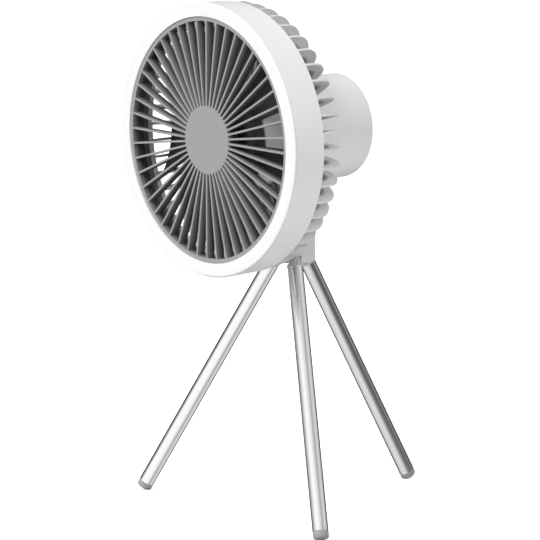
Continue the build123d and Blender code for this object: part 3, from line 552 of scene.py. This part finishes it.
def banded(finish, shader, pitch, axis, strength):
    """Fine parallel lines across one axis, a real pitch apart in metres, as a bump."""
    spot = add(finish, "TexCoord")
    lines = add(finish, "TexWave", [("Vector", spot.outputs["Object"])], bands_direction=axis,
                Scale=math.pi / (10 * pitch), Distortion=0.3)
    bump = add(finish, "Bump", [("Height", lines.outputs["Fac"])], Strength=strength,
               Distance=0.1 * MM)
    link(finish, bump.outputs["Normal"], shader.inputs["Normal"])
    return lines


laminations, shader = new_finish("stamped_electrical_steel", Metallic=1.0, Roughness=0.38,
                                 Base_Color=paint("#8F9296"))
banded(laminations, shader, 0.5 * MM, "Y", 0.6)
dress(laminations, "motor_stator")

copper, shader = new_finish("enamelled_copper_wire", Metallic=1.0, Roughness=0.24)
shader.inputs["Coat Weight"].default_value = 0.6
shader.inputs["Coat Roughness"].default_value = 0.1
turns = banded(copper, shader, 0.4 * MM, "Y", 0.8)
tone = add(copper, "ValToRGB", [("Fac", turns.outputs["Fac"])])
tone.color_ramp.elements[0].color = paint("#8E4A22")
tone.color_ramp.elements[1].color = paint("#C87B45")
link(copper, tone.outputs["Color"], shader.inputs["Base Color"])
dress(copper, "stator_coils")

ferrite, shader = new_finish("sintered_ferrite", Roughness=0.62)
spot = add(ferrite, "TexCoord")
grain = add(ferrite, "TexVoronoi", [("Vector", spot.outputs["Object"])], Scale=1 / (0.4 * MM))
tone = add(ferrite, "ValToRGB", [("Fac", grain.outputs["Distance"])])
tone.color_ramp.elements[0].color = paint("#2E2E30")
tone.color_ramp.elements[1].color = paint("#414144")
link(ferrite, tone.outputs["Color"], shader.inputs["Base Color"])
dress(ferrite, "rotor_magnet")

# %% [markdown]
# ## Electronics and battery
# The light board wears white solder mask, so it throws the light forwards, and the control board
# the usual green. Under the mask the copper lies as flat islands that read as a second, paler
# tone: a cell pattern about 3 mm wide stands for them, with sharp edges and the height of the foil.

# %% Solder masks
BOARDS = {"white_solder_mask": ("light_board", "#ECEDEA", "#F6F6F3"),
          "green_solder_mask": ("control_board", "#1E5B3A", "#2B7048")}
for name, (board, ground_tone, copper_tone) in BOARDS.items():
    mask, shader = new_finish(name, Roughness=0.32, IOR=1.55)
    spot = add(mask, "TexCoord")
    islands = add(mask, "TexVoronoi", [("Vector", spot.outputs["Object"])], Scale=1 / (3 * MM),
                  distance="CHEBYCHEV", Randomness=0.7)
    tone = add(mask, "ValToRGB", [("Fac", islands.outputs["Distance"])])
    tone.color_ramp.interpolation = "CONSTANT"
    tone.color_ramp.elements[0].color = paint(copper_tone)
    tone.color_ramp.elements[1].position = 0.42
    tone.color_ramp.elements[1].color = paint(ground_tone)
    link(mask, tone.outputs["Color"], shader.inputs["Base Color"])
    bump = add(mask, "Bump", [("Height", tone.outputs["Color"])], Strength=0.3,
               Distance=0.035 * MM)
    link(mask, bump.outputs["Normal"], shader.inputs["Normal"])
    dress(mask, board)

# %% [markdown]
# The light chips are filled with yellow phosphor gel, the switches are moulded in black nylon, and
# the light pipes in clear acrylic that lets most of the light through. Powder, grain and haze are
# all finer than can be seen, and are drawn at 0.3 to 0.8 mm.

# %% Gel, black nylon and acrylic
gel, shader = new_finish("phosphor_gel", Roughness=0.22, IOR=1.41)
shader.inputs["Coat Weight"].default_value = 0.4
spot = add(gel, "TexCoord")
powder = add(gel, "TexNoise", [("Vector", spot.outputs["Object"])], Scale=1 / (0.3 * MM))
tone = add(gel, "ValToRGB", [("Fac", powder.outputs["Fac"])])
tone.color_ramp.elements[0].color = paint("#E8CE5E")
tone.color_ramp.elements[1].color = paint("#F3E08A")
link(gel, tone.outputs["Color"], shader.inputs["Base Color"])
dress(gel, "light_chips")

black_nylon, shader = new_finish("black_moulded_nylon", Roughness=0.48, IOR=1.53,
                                 Base_Color=paint("#1D1D1F"))
spot = add(black_nylon, "TexCoord")
grain = add(black_nylon, "TexNoise", [("Vector", spot.outputs["Object"])], Scale=1 / (0.5 * MM))
bump = add(black_nylon, "Bump", [("Height", grain.outputs["Fac"])], Strength=0.08,
           Distance=0.1 * MM)
link(black_nylon, bump.outputs["Normal"], shader.inputs["Normal"])
dress(black_nylon, "button_switches")

acrylic, shader = new_finish("clear_acrylic", IOR=1.49, Base_Color=paint("#F4F6F6"))
shader.inputs["Transmission Weight"].default_value = 0.6
spot = add(acrylic, "TexCoord")
haze = add(acrylic, "TexNoise", [("Vector", spot.outputs["Object"])], Scale=1 / (0.8 * MM))
satin = add(acrylic, "MapRange", [("Value", haze.outputs["Fac"])], **{"To Min": 0.06, "To Max": 0.2})
link(acrylic, satin.outputs["Result"], shader.inputs["Roughness"])

# %% [markdown]
# The battery cells wear a shrunk vinyl sleeve, slightly wrinkled along the cell and glossy. The
# spacers and the washers of the tilt hinge are plain natural nylon, a milky ivory with a skin that
# is drawn at 0.9 mm.

# %% Sleeve and nylon
sleeve, shader = new_finish("shrunk_vinyl_sleeve", Roughness=0.3, IOR=1.53,
                            Base_Color=paint("#4B7F8C"))
spot = add(sleeve, "TexCoord")
along = add(sleeve, "Mapping", [("Vector", spot.outputs["Object"])])
along.inputs["Scale"].default_value = (1, 0.1, 1)
wrinkle = add(sleeve, "TexNoise", [("Vector", along.outputs["Vector"])], Scale=1 / (2 * MM))
bump = add(sleeve, "Bump", [("Height", wrinkle.outputs["Fac"])], Strength=0.35, Distance=0.2 * MM)
link(sleeve, bump.outputs["Normal"], shader.inputs["Normal"])
dress(sleeve, "battery_cells")

ivory, shader = new_finish("natural_nylon", Roughness=0.42, IOR=1.53,
                           Base_Color=paint("#E6E1D2"))
shader.inputs["Subsurface Weight"].default_value = 0.2
shader.inputs["Subsurface Scale"].default_value = 1 * MM
spot = add(ivory, "TexCoord")
skin = add(ivory, "TexNoise", [("Vector", spot.outputs["Object"])], Scale=1 / (0.9 * MM))
satin = add(ivory, "MapRange", [("Value", skin.outputs["Fac"])], **{"To Min": 0.36, "To Max": 0.5})
link(ivory, satin.outputs["Result"], shader.inputs["Roughness"])
dress(ivory, "tilt_washers", "cell_spacers")

# %% [markdown]
# ## Modelling small pieces
# Small pieces catch the eye by their edges, so they are modelled again with soft ones. Each starts
# as a primitive whose place goes into its mesh at once, so all later numbers are real places on the
# fan. With a mouse, faces and edges are clicked. In a script they are chosen by where they are.

# %% Start a piece and choose its parts
NEAR = 0.01 * MM


def new_piece(name, kind, **settings):
    """A primitive whose place is in its mesh, with everything else deselected."""
    bpy.ops.object.select_all(action="DESELECT")
    getattr(bpy.ops.mesh, "primitive_" + kind + "_add")(**settings)
    bpy.ops.object.transform_apply(location=True, rotation=True, scale=True)
    piece = bpy.context.object
    piece.name = piece.data.name = name
    return piece


def pick_faces(piece, wanted):
    """In edit mode, select the faces whose middle and normal pass the test."""
    bpy.ops.object.mode_set(mode="EDIT")
    bpy.ops.mesh.select_mode(type="FACE")
    bpy.ops.mesh.select_all(action="DESELECT")
    bpy.ops.object.mode_set(mode="OBJECT")
    for face in piece.data.polygons:
        face.select = wanted(face.center, face.normal)
    bpy.ops.object.mode_set(mode="EDIT")


def pick_edges(piece, wanted):
    """In edit mode, select the edges whose two ends pass the test."""
    bpy.ops.object.mode_set(mode="EDIT")
    bpy.ops.mesh.select_mode(type="EDGE")
    bpy.ops.mesh.select_all(action="DESELECT")
    bpy.ops.object.mode_set(mode="OBJECT")
    points = piece.data.vertices
    for edge in piece.data.edges:
        edge.select = wanted(*(points[i].co for i in edge.vertices))
    bpy.ops.object.mode_set(mode="EDIT")


def extrude(x, y, z):
    bpy.ops.mesh.extrude_region_move(TRANSFORM_OT_translate={"value": (x, y, z)})


print("places count as the same within", NEAR / MM, "mm")

# %% [markdown]
# What repeats is modelled once and copied. A finished piece has its seams closed and its faces
# pointed outwards, is shaded smooth except at real edges, gets its finish, and is handed to the
# body that it moves with.

# %% Copy and hand over
SEAM = 0.005 * MM
SMOOTH_BELOW = math.radians(32)


def copy_piece(piece, name, place):
    """A copy with its own mesh, moved by a matrix that goes into its mesh."""
    twin = piece.copy()
    twin.data = piece.data.copy()
    twin.name = twin.data.name = name
    twin.data.transform(place)
    bpy.context.collection.objects.link(twin)
    return twin


def hand_over(piece, finish, body, slot, *replaced):
    """Close and smooth a finished piece, dress it and let it ride."""
    if bpy.context.object.mode != "OBJECT":
        bpy.ops.object.mode_set(mode="OBJECT")
    bpy.ops.object.select_all(action="DESELECT")
    bpy.context.view_layer.objects.active = piece
    piece.select_set(True)
    bpy.ops.object.mode_set(mode="EDIT")
    bpy.ops.mesh.select_all(action="SELECT")
    bpy.ops.mesh.remove_doubles(threshold=SEAM)
    bpy.ops.mesh.normals_make_consistent(inside=False)
    bpy.ops.object.mode_set(mode="OBJECT")
    bpy.ops.object.shade_smooth_by_angle(angle=SMOOTH_BELOW)
    piece.data.materials.clear()
    piece.data.materials.append(finish)
    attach(piece, body)
    if replaced:
        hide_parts(*replaced)
    print(piece.name, len(piece.data.polygons), "faces on", body)


print("edges up to", round(math.degrees(SMOOTH_BELOW)), "degrees are shaded smooth")

# %% [markdown]
# ## Buttons
# Both buttons are the same cap: a flange that the panel keeps in, a plain barrel, and a face dished
# for a fingertip. A profile could be spun round its axis, but insets follow the flat face with
# fewer numbers. A disc is extruded into the barrel, its face is inset five times into a shallow
# dish, and its rim is rounded with a bevel.

# %% Dished buttons
speed_low, speed_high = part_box("speed_button")
light_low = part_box("light_button")[0]
speed_middle = (speed_low + speed_high) / 2
FLANGE_RADIUS = (speed_high.x - speed_low.x) / 2
FLANGE_THICK = 1.2 * MM
CAP_RADIUS, CAP_ROUND = 5.8 * MM, 0.45 * MM
CAP_DISH = ((0.9, 0.0), (0.8, 0.1), (1.0, 0.16), (1.2, 0.12), (1.2, 0.05))
cap = new_piece("speed_button_cap", "cylinder", vertices=64, radius=FLANGE_RADIUS,
                depth=FLANGE_THICK, rotation=(math.pi / 2, 0, 0),
                location=(speed_middle.x, speed_low.y + FLANGE_THICK / 2, speed_middle.z))
pick_faces(cap, lambda middle, normal: normal.y > 0.9)
bpy.ops.mesh.inset(thickness=FLANGE_RADIUS - CAP_RADIUS)
extrude(0, speed_high.y - speed_low.y - FLANGE_THICK, 0)
for width, dip in CAP_DISH:
    bpy.ops.mesh.inset(thickness=width * MM, depth=-dip * MM)
pick_edges(cap, lambda a, b: min(a.y, b.y) > speed_high.y - NEAR
           and abs((a - b).length - CAP_RADIUS * 2 * math.sin(math.pi / 64)) < NEAR)
bpy.ops.mesh.bevel(offset=CAP_ROUND, segments=4)
bpy.ops.object.mode_set(mode="OBJECT")
lower_cap = copy_piece(cap, "light_button_cap",
                       Matrix.Translation((0, 0, light_low.z - speed_low.z)))
hand_over(cap, white_abs, "speed_button", "button_grey", "speed_button")
hand_over(lower_cap, white_abs, "light_button", "button_grey", "light_button")

# %% [markdown]
# ## Hanging bail
# The bail is a half ring of steel, powder coated in light grey, that lies in a groove of the panel
# and swings out to hang the fan. Powder melts into a slightly pebbled skin, so its bump has soft
# dots about 1 mm apart.

# %% Powder coat
powder_coat, shader = new_finish("light_grey_powder_coat", Roughness=0.36, IOR=1.5,
                                 Base_Color=paint("#A9ABAD"))
spot = add(powder_coat, "TexCoord")
pebbles = add(powder_coat, "TexNoise", [("Vector", spot.outputs["Object"])],
              Scale=1 / (1 * MM), Detail=1.0)
bump = add(powder_coat, "Bump", [("Height", pebbles.outputs["Fac"])], Strength=0.12,
           Distance=0.1 * MM)
link(powder_coat, bump.outputs["Normal"], shader.inputs["Normal"])
print(powder_coat.name, "for the bail")

# %% [markdown]
# The bail's section is a flat bar with rounded edges. A curve with some bevel depth would give a
# round wire, so the bar's end face is spun half way round the fan's axis instead, and its long
# edges are rounded afterwards. An eye with its pivot stub is modelled at one end and copied to the
# other by a half turn.

# %% Bail
bail_low, bail_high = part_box("hanging_bail")
BAIL_Y = (bail_low.y + bail_high.y) / 2
BAIL_THICK = bail_high.y - bail_low.y
BAIL_WIDTH = 4.0 * MM
BAIL_RADIUS = AXIS_Z - bail_low.z - BAIL_WIDTH / 2
STUB_RADIUS, BAIL_ROUND, STUB_ROUND = 1.1 * MM, 1.1 * MM, 0.25 * MM
bail = new_piece("hanging_bail_ring", "plane", size=1 * MM, location=(BAIL_RADIUS, BAIL_Y, AXIS_Z))
bpy.ops.object.mode_set(mode="EDIT")
bpy.ops.transform.resize(value=(BAIL_WIDTH / MM, BAIL_THICK / MM, 1),
                         center_override=(BAIL_RADIUS, BAIL_Y, AXIS_Z))
bpy.ops.mesh.spin(steps=64, angle=-math.pi, center=(0, BAIL_Y, AXIS_Z), axis=(0, 1, 0))


def reach_of(point):
    """Distance from the fan's axis."""
    return math.hypot(point.x, point.z - AXIS_Z)


def turn_round(y):
    """A half turn about the upright line at y."""
    return (Matrix.Translation((0, y, 0)) @ Matrix.Rotation(math.pi, 4, "Z")
            @ Matrix.Translation((0, -y, 0)))


def join(pieces):
    """Several loose solids become one piece, under the first one's name."""
    bpy.ops.object.mode_set(mode="OBJECT")
    bpy.ops.object.select_all(action="DESELECT")
    for piece in pieces:
        piece.select_set(True)
    bpy.context.view_layer.objects.active = pieces[0]
    bpy.ops.object.join()
    return pieces[0]


pick_edges(bail, lambda a, b: abs(a.y - b.y) < NEAR and abs(reach_of(a) - reach_of(b)) < NEAR)
bpy.ops.mesh.bevel(offset=BAIL_ROUND, segments=4)
bpy.ops.object.mode_set(mode="OBJECT")
eye = new_piece("bail_eye", "cylinder", vertices=32, radius=BAIL_THICK / 2, depth=BAIL_WIDTH,
                rotation=(0, math.pi / 2, 0), location=(BAIL_RADIUS, BAIL_Y, AXIS_Z))
pick_faces(eye, lambda middle, normal: normal.x > 0.9)
bpy.ops.mesh.inset(thickness=BAIL_THICK / 2 - STUB_RADIUS)
extrude(bail_high.x - BAIL_RADIUS - BAIL_WIDTH / 2, 0, 0)
pick_edges(eye, lambda a, b: min(a.x, b.x) > bail_high.x - NEAR and (a - b).length > 0.2 * MM)
bpy.ops.mesh.bevel(offset=STUB_ROUND, segments=2)
bpy.ops.object.mode_set(mode="OBJECT")
other_eye = copy_piece(eye, "bail_eye_left", turn_round(BAIL_Y))
hand_over(join([bail, eye, other_eye]), powder_coat, "hanging_bail", "bail_metal", "hanging_bail")

# %% [markdown]
# ## Charging socket
# The socket is a small stainless shell with a tongue inside that carries two rows of gold plated
# contacts. A stretched disc would get oval ends, so the halves of a disc are moved apart into the
# socket's long round outline. It is extruded to its depth, and the mouth is inset and pushed in.

# %% Socket shell and tongue
port_low, port_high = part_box("charging_port")
PORT_Z = (port_low.z + port_high.z) / 2
port_half = (port_high.z - port_low.z) / 2
side_shift = (port_high.x - port_low.x) / 2 - port_half
MOUTH_RIM, MOUTH_WALL, MOUTH_DEPTH = 0.12 * MM, 0.23 * MM, 7.4 * MM
TONGUE_SIZE, TONGUE_ROUND = (6.6, 6.6, 0.7), 0.2 * MM
tongue_middle = (0, port_high.y - 4.4 * MM, PORT_Z)
shell = new_piece("charging_socket_shell", "circle", vertices=48, radius=port_half,
                  fill_type="NGON", rotation=(math.pi / 2, 0, 0),
                  location=(0, port_low.y, PORT_Z))
for side in (-1, 1):
    pick_edges(shell, lambda a, b: min(a.x * side, b.x * side) > NEAR)
    bpy.ops.transform.translate(value=(side * side_shift, 0, 0))
pick_faces(shell, lambda middle, normal: True)
extrude(0, port_high.y - port_low.y, 0)
pick_faces(shell, lambda middle, normal: middle.y > port_high.y - NEAR)
bpy.ops.mesh.inset(thickness=MOUTH_RIM)
bpy.ops.mesh.inset(thickness=MOUTH_WALL, depth=-0.1 * MM)
extrude(0, -MOUTH_DEPTH, 0)
hand_over(shell, stainless, "head", "steel", "charging_port")

tongue = new_piece("charging_socket_tongue", "cube", size=1 * MM, location=tongue_middle)
bpy.ops.object.mode_set(mode="EDIT")
bpy.ops.transform.resize(value=TONGUE_SIZE, center_override=tongue_middle)
pick_edges(tongue, lambda a, b: min(a.y, b.y) > port_high.y - 1.2 * MM
           and abs(a.z - b.z) < NEAR)
bpy.ops.mesh.bevel(offset=TONGUE_ROUND, segments=3)
hand_over(tongue, black_nylon, "head", "switch_black")

# %% [markdown]
# The contacts are gold plated strips, half a millimetre apart, with rounded front ends that a plug
# slides over. One strip is modelled on top of the tongue and copied to twelve places on each side.

# %% Gold contacts
gold = cloudy_metal("gold_plated_contacts", "#D9B25F", 0.16, 0.26, 0.5 * MM)
CONTACT_PITCH, CONTACT_SIZE, CONTACT_ROUND = 0.5 * MM, (0.26, 3.64, 0.042), 0.03 * MM
strip_middle = (0, port_high.y - 3.2 * MM, PORT_Z + TONGUE_SIZE[2] / 2 * MM)
strip = new_piece("contact_strip", "cube", size=1 * MM, location=strip_middle)
bpy.ops.object.mode_set(mode="EDIT")
bpy.ops.transform.resize(value=CONTACT_SIZE, center_override=strip_middle)
pick_edges(strip, lambda a, b: min(a.y, b.y) > strip_middle[1] and min(a.z, b.z) > strip_middle[2])
bpy.ops.mesh.bevel(offset=CONTACT_ROUND, segments=2)
bpy.ops.object.mode_set(mode="OBJECT")
contacts = []
for half_turn in (0, math.pi):
    flip = (Matrix.Translation((0, 0, PORT_Z)) @ Matrix.Rotation(half_turn, 4, "Y")
            @ Matrix.Translation((0, 0, -PORT_Z)))
    for step in range(12):
        slide = Matrix.Translation(((step - 5.5) * CONTACT_PITCH, 0, 0))
        contacts.append(copy_piece(strip, "socket_contacts", slide @ flip))
hand_over(join(contacts), gold, "head", "copper_wire")
bpy.data.objects.remove(strip)

# %% [markdown]
# ## Charge lights
# Four clear acrylic pipes carry the charge lights from the board to the panel's face. One rod gets
# a rounded tip, and three copies stand beside it. The tip is a bevel, because a ball set on the rod
# would leave a seam that clear acrylic shows.

# %% Light pipes
pipe_low, pipe_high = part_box("indicator_pipes")
PIPE_RADIUS, TIP_ROUND = (pipe_high.z - pipe_low.z) / 2, 0.35 * MM
PIPE_PITCH = (pipe_high.x - pipe_low.x - 2 * PIPE_RADIUS) / 3
pipe = new_piece("charge_light_1", "cylinder", vertices=32, radius=PIPE_RADIUS,
                 depth=pipe_high.y - pipe_low.y, rotation=(math.pi / 2, 0, 0),
                 location=(pipe_low.x + PIPE_RADIUS, (pipe_low.y + pipe_high.y) / 2,
                           (pipe_low.z + pipe_high.z) / 2))
pick_edges(pipe, lambda a, b: min(a.y, b.y) > pipe_high.y - NEAR)
bpy.ops.mesh.bevel(offset=TIP_ROUND, segments=4)
bpy.ops.object.mode_set(mode="OBJECT")
pipes = [pipe] + [copy_piece(pipe, f"charge_light_{n + 1}",
                             Matrix.Translation((n * PIPE_PITCH, 0, 0))) for n in (1, 2, 3)]
for pipe in pipes:
    hand_over(pipe, acrylic, "head", "indicator_clear", "indicator_pipes")

# %% [markdown]
# ## Feet
# Each foot is a rubber plug pushed into the end of a tube, where one rib grips the bore. Its sole
# is rounded, so it rolls as the leg folds, and slightly hollow, as moulded rubber feet are. It is
# modelled upright at the end of a leg that hangs straight down, where its places are plain heights,
# and copied to the three legs by the turn and tilt of each.

# %% Rubber feet
PIVOT_RADIUS, PIVOT_HEIGHT = 9.2 * MM, 162.7 * MM
TUBE_RADIUS, BORE_RADIUS = 4.93 * MM, 4.13 * MM
LEG_LENGTH, FOOT_LENGTH = 185.657 * MM, 4.6 * MM
SOLE_ROUND, RIM_ROUND = 1.5 * MM, 0.2 * MM
PLUG_STEPS = ((3.0, 0.0), (0.4, -0.12), (0.5, 0.0), (0.4, 0.12), (5.0, 0.0), (0.7, 0.7))
HOLLOW_STEPS = ((0.5, 0.0), (0.3, -0.15), (0.5, -0.1))


def leg_place(heading):
    """Where a leg that hangs straight down from the origin stands on the fan."""
    return (Matrix.Translation((0, STAND_Y, 0)) @ Matrix.Rotation(math.radians(heading), 4, "Z")
            @ Matrix.Translation((PIVOT_RADIUS, 0, PIVOT_HEIGHT))
            @ Matrix.Rotation(-LEG_SPLAY, 4, "Y"))


sole_z = -LEG_LENGTH
foot = new_piece("rubber_foot", "cylinder", vertices=48, radius=TUBE_RADIUS, depth=FOOT_LENGTH,
                 location=(0, 0, sole_z + FOOT_LENGTH / 2))
pick_faces(foot, lambda middle, normal: normal.z > 0.9)
bpy.ops.mesh.inset(thickness=TUBE_RADIUS - BORE_RADIUS)
for rise, narrowing in PLUG_STEPS:
    extrude(0, 0, rise * MM)
    size = 1 - narrowing * MM / BORE_RADIUS
    bpy.ops.transform.resize(value=(size, size, 1), center_override=(0, 0, 0))
pick_edges(foot, lambda a, b: max(a.z, b.z) < sole_z + NEAR)
bpy.ops.mesh.bevel(offset=SOLE_ROUND, segments=6)
pick_faces(foot, lambda middle, normal: normal.z < -0.999)
for width, depth in HOLLOW_STEPS:
    bpy.ops.mesh.inset(thickness=width * MM, depth=depth * MM)
pick_edges(foot, lambda a, b: min(a.z, b.z) > sole_z + FOOT_LENGTH - NEAR
           and min(a.xy.length, b.xy.length) > TUBE_RADIUS - NEAR)
bpy.ops.mesh.bevel(offset=RIM_ROUND, segments=2)
bpy.ops.object.mode_set(mode="OBJECT")
for leg, heading in LEG_HEADINGS.items():
    hand_over(copy_piece(foot, "rubber_foot_" + leg, leg_place(heading)), rubber, "leg_" + leg,
              "foot_rubber", "leg_foot_" + leg)
bpy.data.objects.remove(foot)

# %% [markdown]
# ## Screws
# The small screws are pan headed with a cross recess. The head is a disc with a rounded rim. Two
# crossed blades cut the recess with Boolean modifiers, because a real cut takes the light from any
# side as a drawn one doesn't. The thread could be a helix, but at this size a stack of crests looks
# the same and stays a closed skin. A screw is modelled head down at the origin.

# %% Cross recess screw
HEAD_RADIUS, HEAD_HEIGHT, SHANK_RADIUS = 2.3 * MM, 1.4 * MM, 1.2 * MM
THREAD_PITCH, ROOT_SHARE, CREST_SHARE = 0.8 * MM, 0.8, 1.25
RECESS_LONG, RECESS_WIDE, RECESS_DEEP = 2.7, 0.62, 1.6
HEAD_ROUND, TIP_LENGTH, TIP_SHARE = 0.5 * MM, 1 * MM, 0.3


def chosen(piece):
    """The vertices that are selected in edit mode."""
    piece.update_from_editmode()
    return [v for v in piece.data.vertices if v.select]


def model_screw(name, length):
    """A pan head screw with its head below the origin and its shank above."""
    head = new_piece(name, "cylinder", vertices=48, radius=HEAD_RADIUS, depth=HEAD_HEIGHT,
                     location=(0, 0, -HEAD_HEIGHT / 2))
    pick_faces(head, lambda middle, normal: normal.z > 0.9)
    bpy.ops.mesh.inset(thickness=HEAD_RADIUS - ROOT_SHARE * SHANK_RADIUS)
    crests = int((length - TIP_LENGTH) / THREAD_PITCH)
    for turn in range(crests):
        for share in (1.0, CREST_SHARE, 1.0):
            extrude(0, 0, THREAD_PITCH / 3)
            ring = ROOT_SHARE * SHANK_RADIUS * share
            now = max(v.co.xy.length for v in chosen(head))
            bpy.ops.transform.resize(value=(ring / now, ring / now, 1), center_override=(0, 0, 0))
    extrude(0, 0, length - crests * THREAD_PITCH)
    bpy.ops.transform.resize(value=(TIP_SHARE, TIP_SHARE, 1), center_override=(0, 0, 0))
    pick_edges(head, lambda a, b: max(a.z, b.z) < -HEAD_HEIGHT + NEAR)
    bpy.ops.mesh.bevel(offset=HEAD_ROUND, segments=4)
    bpy.ops.object.mode_set(mode="OBJECT")
    for size in ((RECESS_LONG, RECESS_WIDE, RECESS_DEEP), (RECESS_WIDE, RECESS_LONG, RECESS_DEEP)):
        blade = new_piece("cross_tool", "cube", size=1 * MM, location=(0, 0, -HEAD_HEIGHT))
        bpy.ops.object.mode_set(mode="EDIT")
        bpy.ops.transform.resize(value=size, center_override=(0, 0, -HEAD_HEIGHT))
        bpy.ops.object.mode_set(mode="OBJECT")
        bpy.context.view_layer.objects.active = head
        cut = head.modifiers.new("recess", "BOOLEAN")
        cut.object, cut.operation, cut.solver = blade, "DIFFERENCE", "EXACT"
        bpy.ops.object.modifier_apply(modifier=cut.name)
        bpy.data.objects.remove(blade)
    return head


print("a cross recess", RECESS_LONG, "mm long and", RECESS_WIDE, "mm wide")

# %% [markdown]
# One screw holds the base plate under the neck, with its head down. Two more hold the yoke from
# inside the housing, so they are turned head up, and they stand at the two ends of their box.

# %% Base and yoke screws
base_low, base_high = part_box("base_screw")
base_screw = model_screw("base_screw_cross", base_high.z - base_low.z - HEAD_HEIGHT)
base_screw.data.transform(Matrix.Translation((0, STAND_Y, base_low.z + HEAD_HEIGHT)))
hand_over(base_screw, zinc, "stand", "steel", "base_screw")

yoke_low, yoke_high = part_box("yoke_screws")
yoke_screw = model_screw("yoke_screw_1", yoke_high.z - yoke_low.z - HEAD_HEIGHT)
head_down = Matrix.Rotation(math.pi, 4, "X")
yoke_places = [Matrix.Translation((0, y, yoke_high.z - HEAD_HEIGHT)) @ head_down
               for y in (yoke_low.y + HEAD_RADIUS, yoke_high.y - HEAD_RADIUS)]
second_screw = copy_piece(yoke_screw, "yoke_screw_2", yoke_places[1])
yoke_screw.data.transform(yoke_places[0])
for screw in (yoke_screw, second_screw):
    hand_over(screw, zinc, "head", "steel", "yoke_screws")

# %% [markdown]
# The four shell screws sit in the drum's front, half way between the clock's quarters, with their
# heads towards the light board.

# %% Shell screws
shell_low, shell_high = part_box("shell_screws")
screw_reach = shell_high.x - HEAD_RADIUS
shell_places = [Matrix.Translation((across * screw_reach, shell_low.y + HEAD_HEIGHT,
                                    AXIS_Z + up * screw_reach)) @ Matrix.Rotation(-math.pi / 2, 4, "X")
                for across, up in ((1, 1), (1, -1), (-1, -1), (-1, 1))]
shell_screw = model_screw("shell_screw_1", shell_high.y - shell_low.y - HEAD_HEIGHT)
shell_screws = [shell_screw] + [copy_piece(shell_screw, f"shell_screw_{n}", shell_places[n - 1])
                                for n in (2, 3, 4)]
shell_screw.data.transform(shell_places[0])
for screw in shell_screws:
    hand_over(screw, zinc, "head", "steel", "shell_screws")

# %% [markdown]
# ## Hinge caps
# Two caps snap over the ends of the tilt bolt, flush with the yoke. They are made as the buttons
# are: a disc's face is inset four times into a shallow dish, and its rim is rounded, so that a fine
# line of light runs round each cap. The left cap is a copy by a half turn.

# %% Dished hinge caps
caps_low, caps_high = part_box("tilt_caps")
hinge_middle = (caps_low + caps_high) / 2
COVER_RADIUS = (caps_high.z - caps_low.z) / 2
COVER_THICK, COVER_ROUND = 1.2 * MM, 0.3 * MM
COVER_DISH = ((0.6, 0.0), (0.6, 0.08), (0.9, 0.12), (1.0, 0.05))
cover = new_piece("hinge_cap_right", "cylinder", vertices=64, radius=COVER_RADIUS,
                  depth=COVER_THICK, rotation=(0, math.pi / 2, 0),
                  location=(caps_high.x - COVER_THICK / 2, hinge_middle.y, hinge_middle.z))
pick_faces(cover, lambda middle, normal: normal.x > 0.9)
for width, dip in COVER_DISH:
    bpy.ops.mesh.inset(thickness=width * MM, depth=-dip * MM)
pick_edges(cover, lambda a, b: min(a.x, b.x) > caps_high.x - NEAR
           and abs((a - b).length - COVER_RADIUS * 2 * math.sin(math.pi / 64)) < NEAR)
bpy.ops.mesh.bevel(offset=COVER_ROUND, segments=3)
bpy.ops.object.mode_set(mode="OBJECT")
left_cover = copy_piece(cover, "hinge_cap_left", turn_round(hinge_middle.y))
for piece in (cover, left_cover):
    hand_over(piece, white_abs, "head", "white_shell", "tilt_caps")
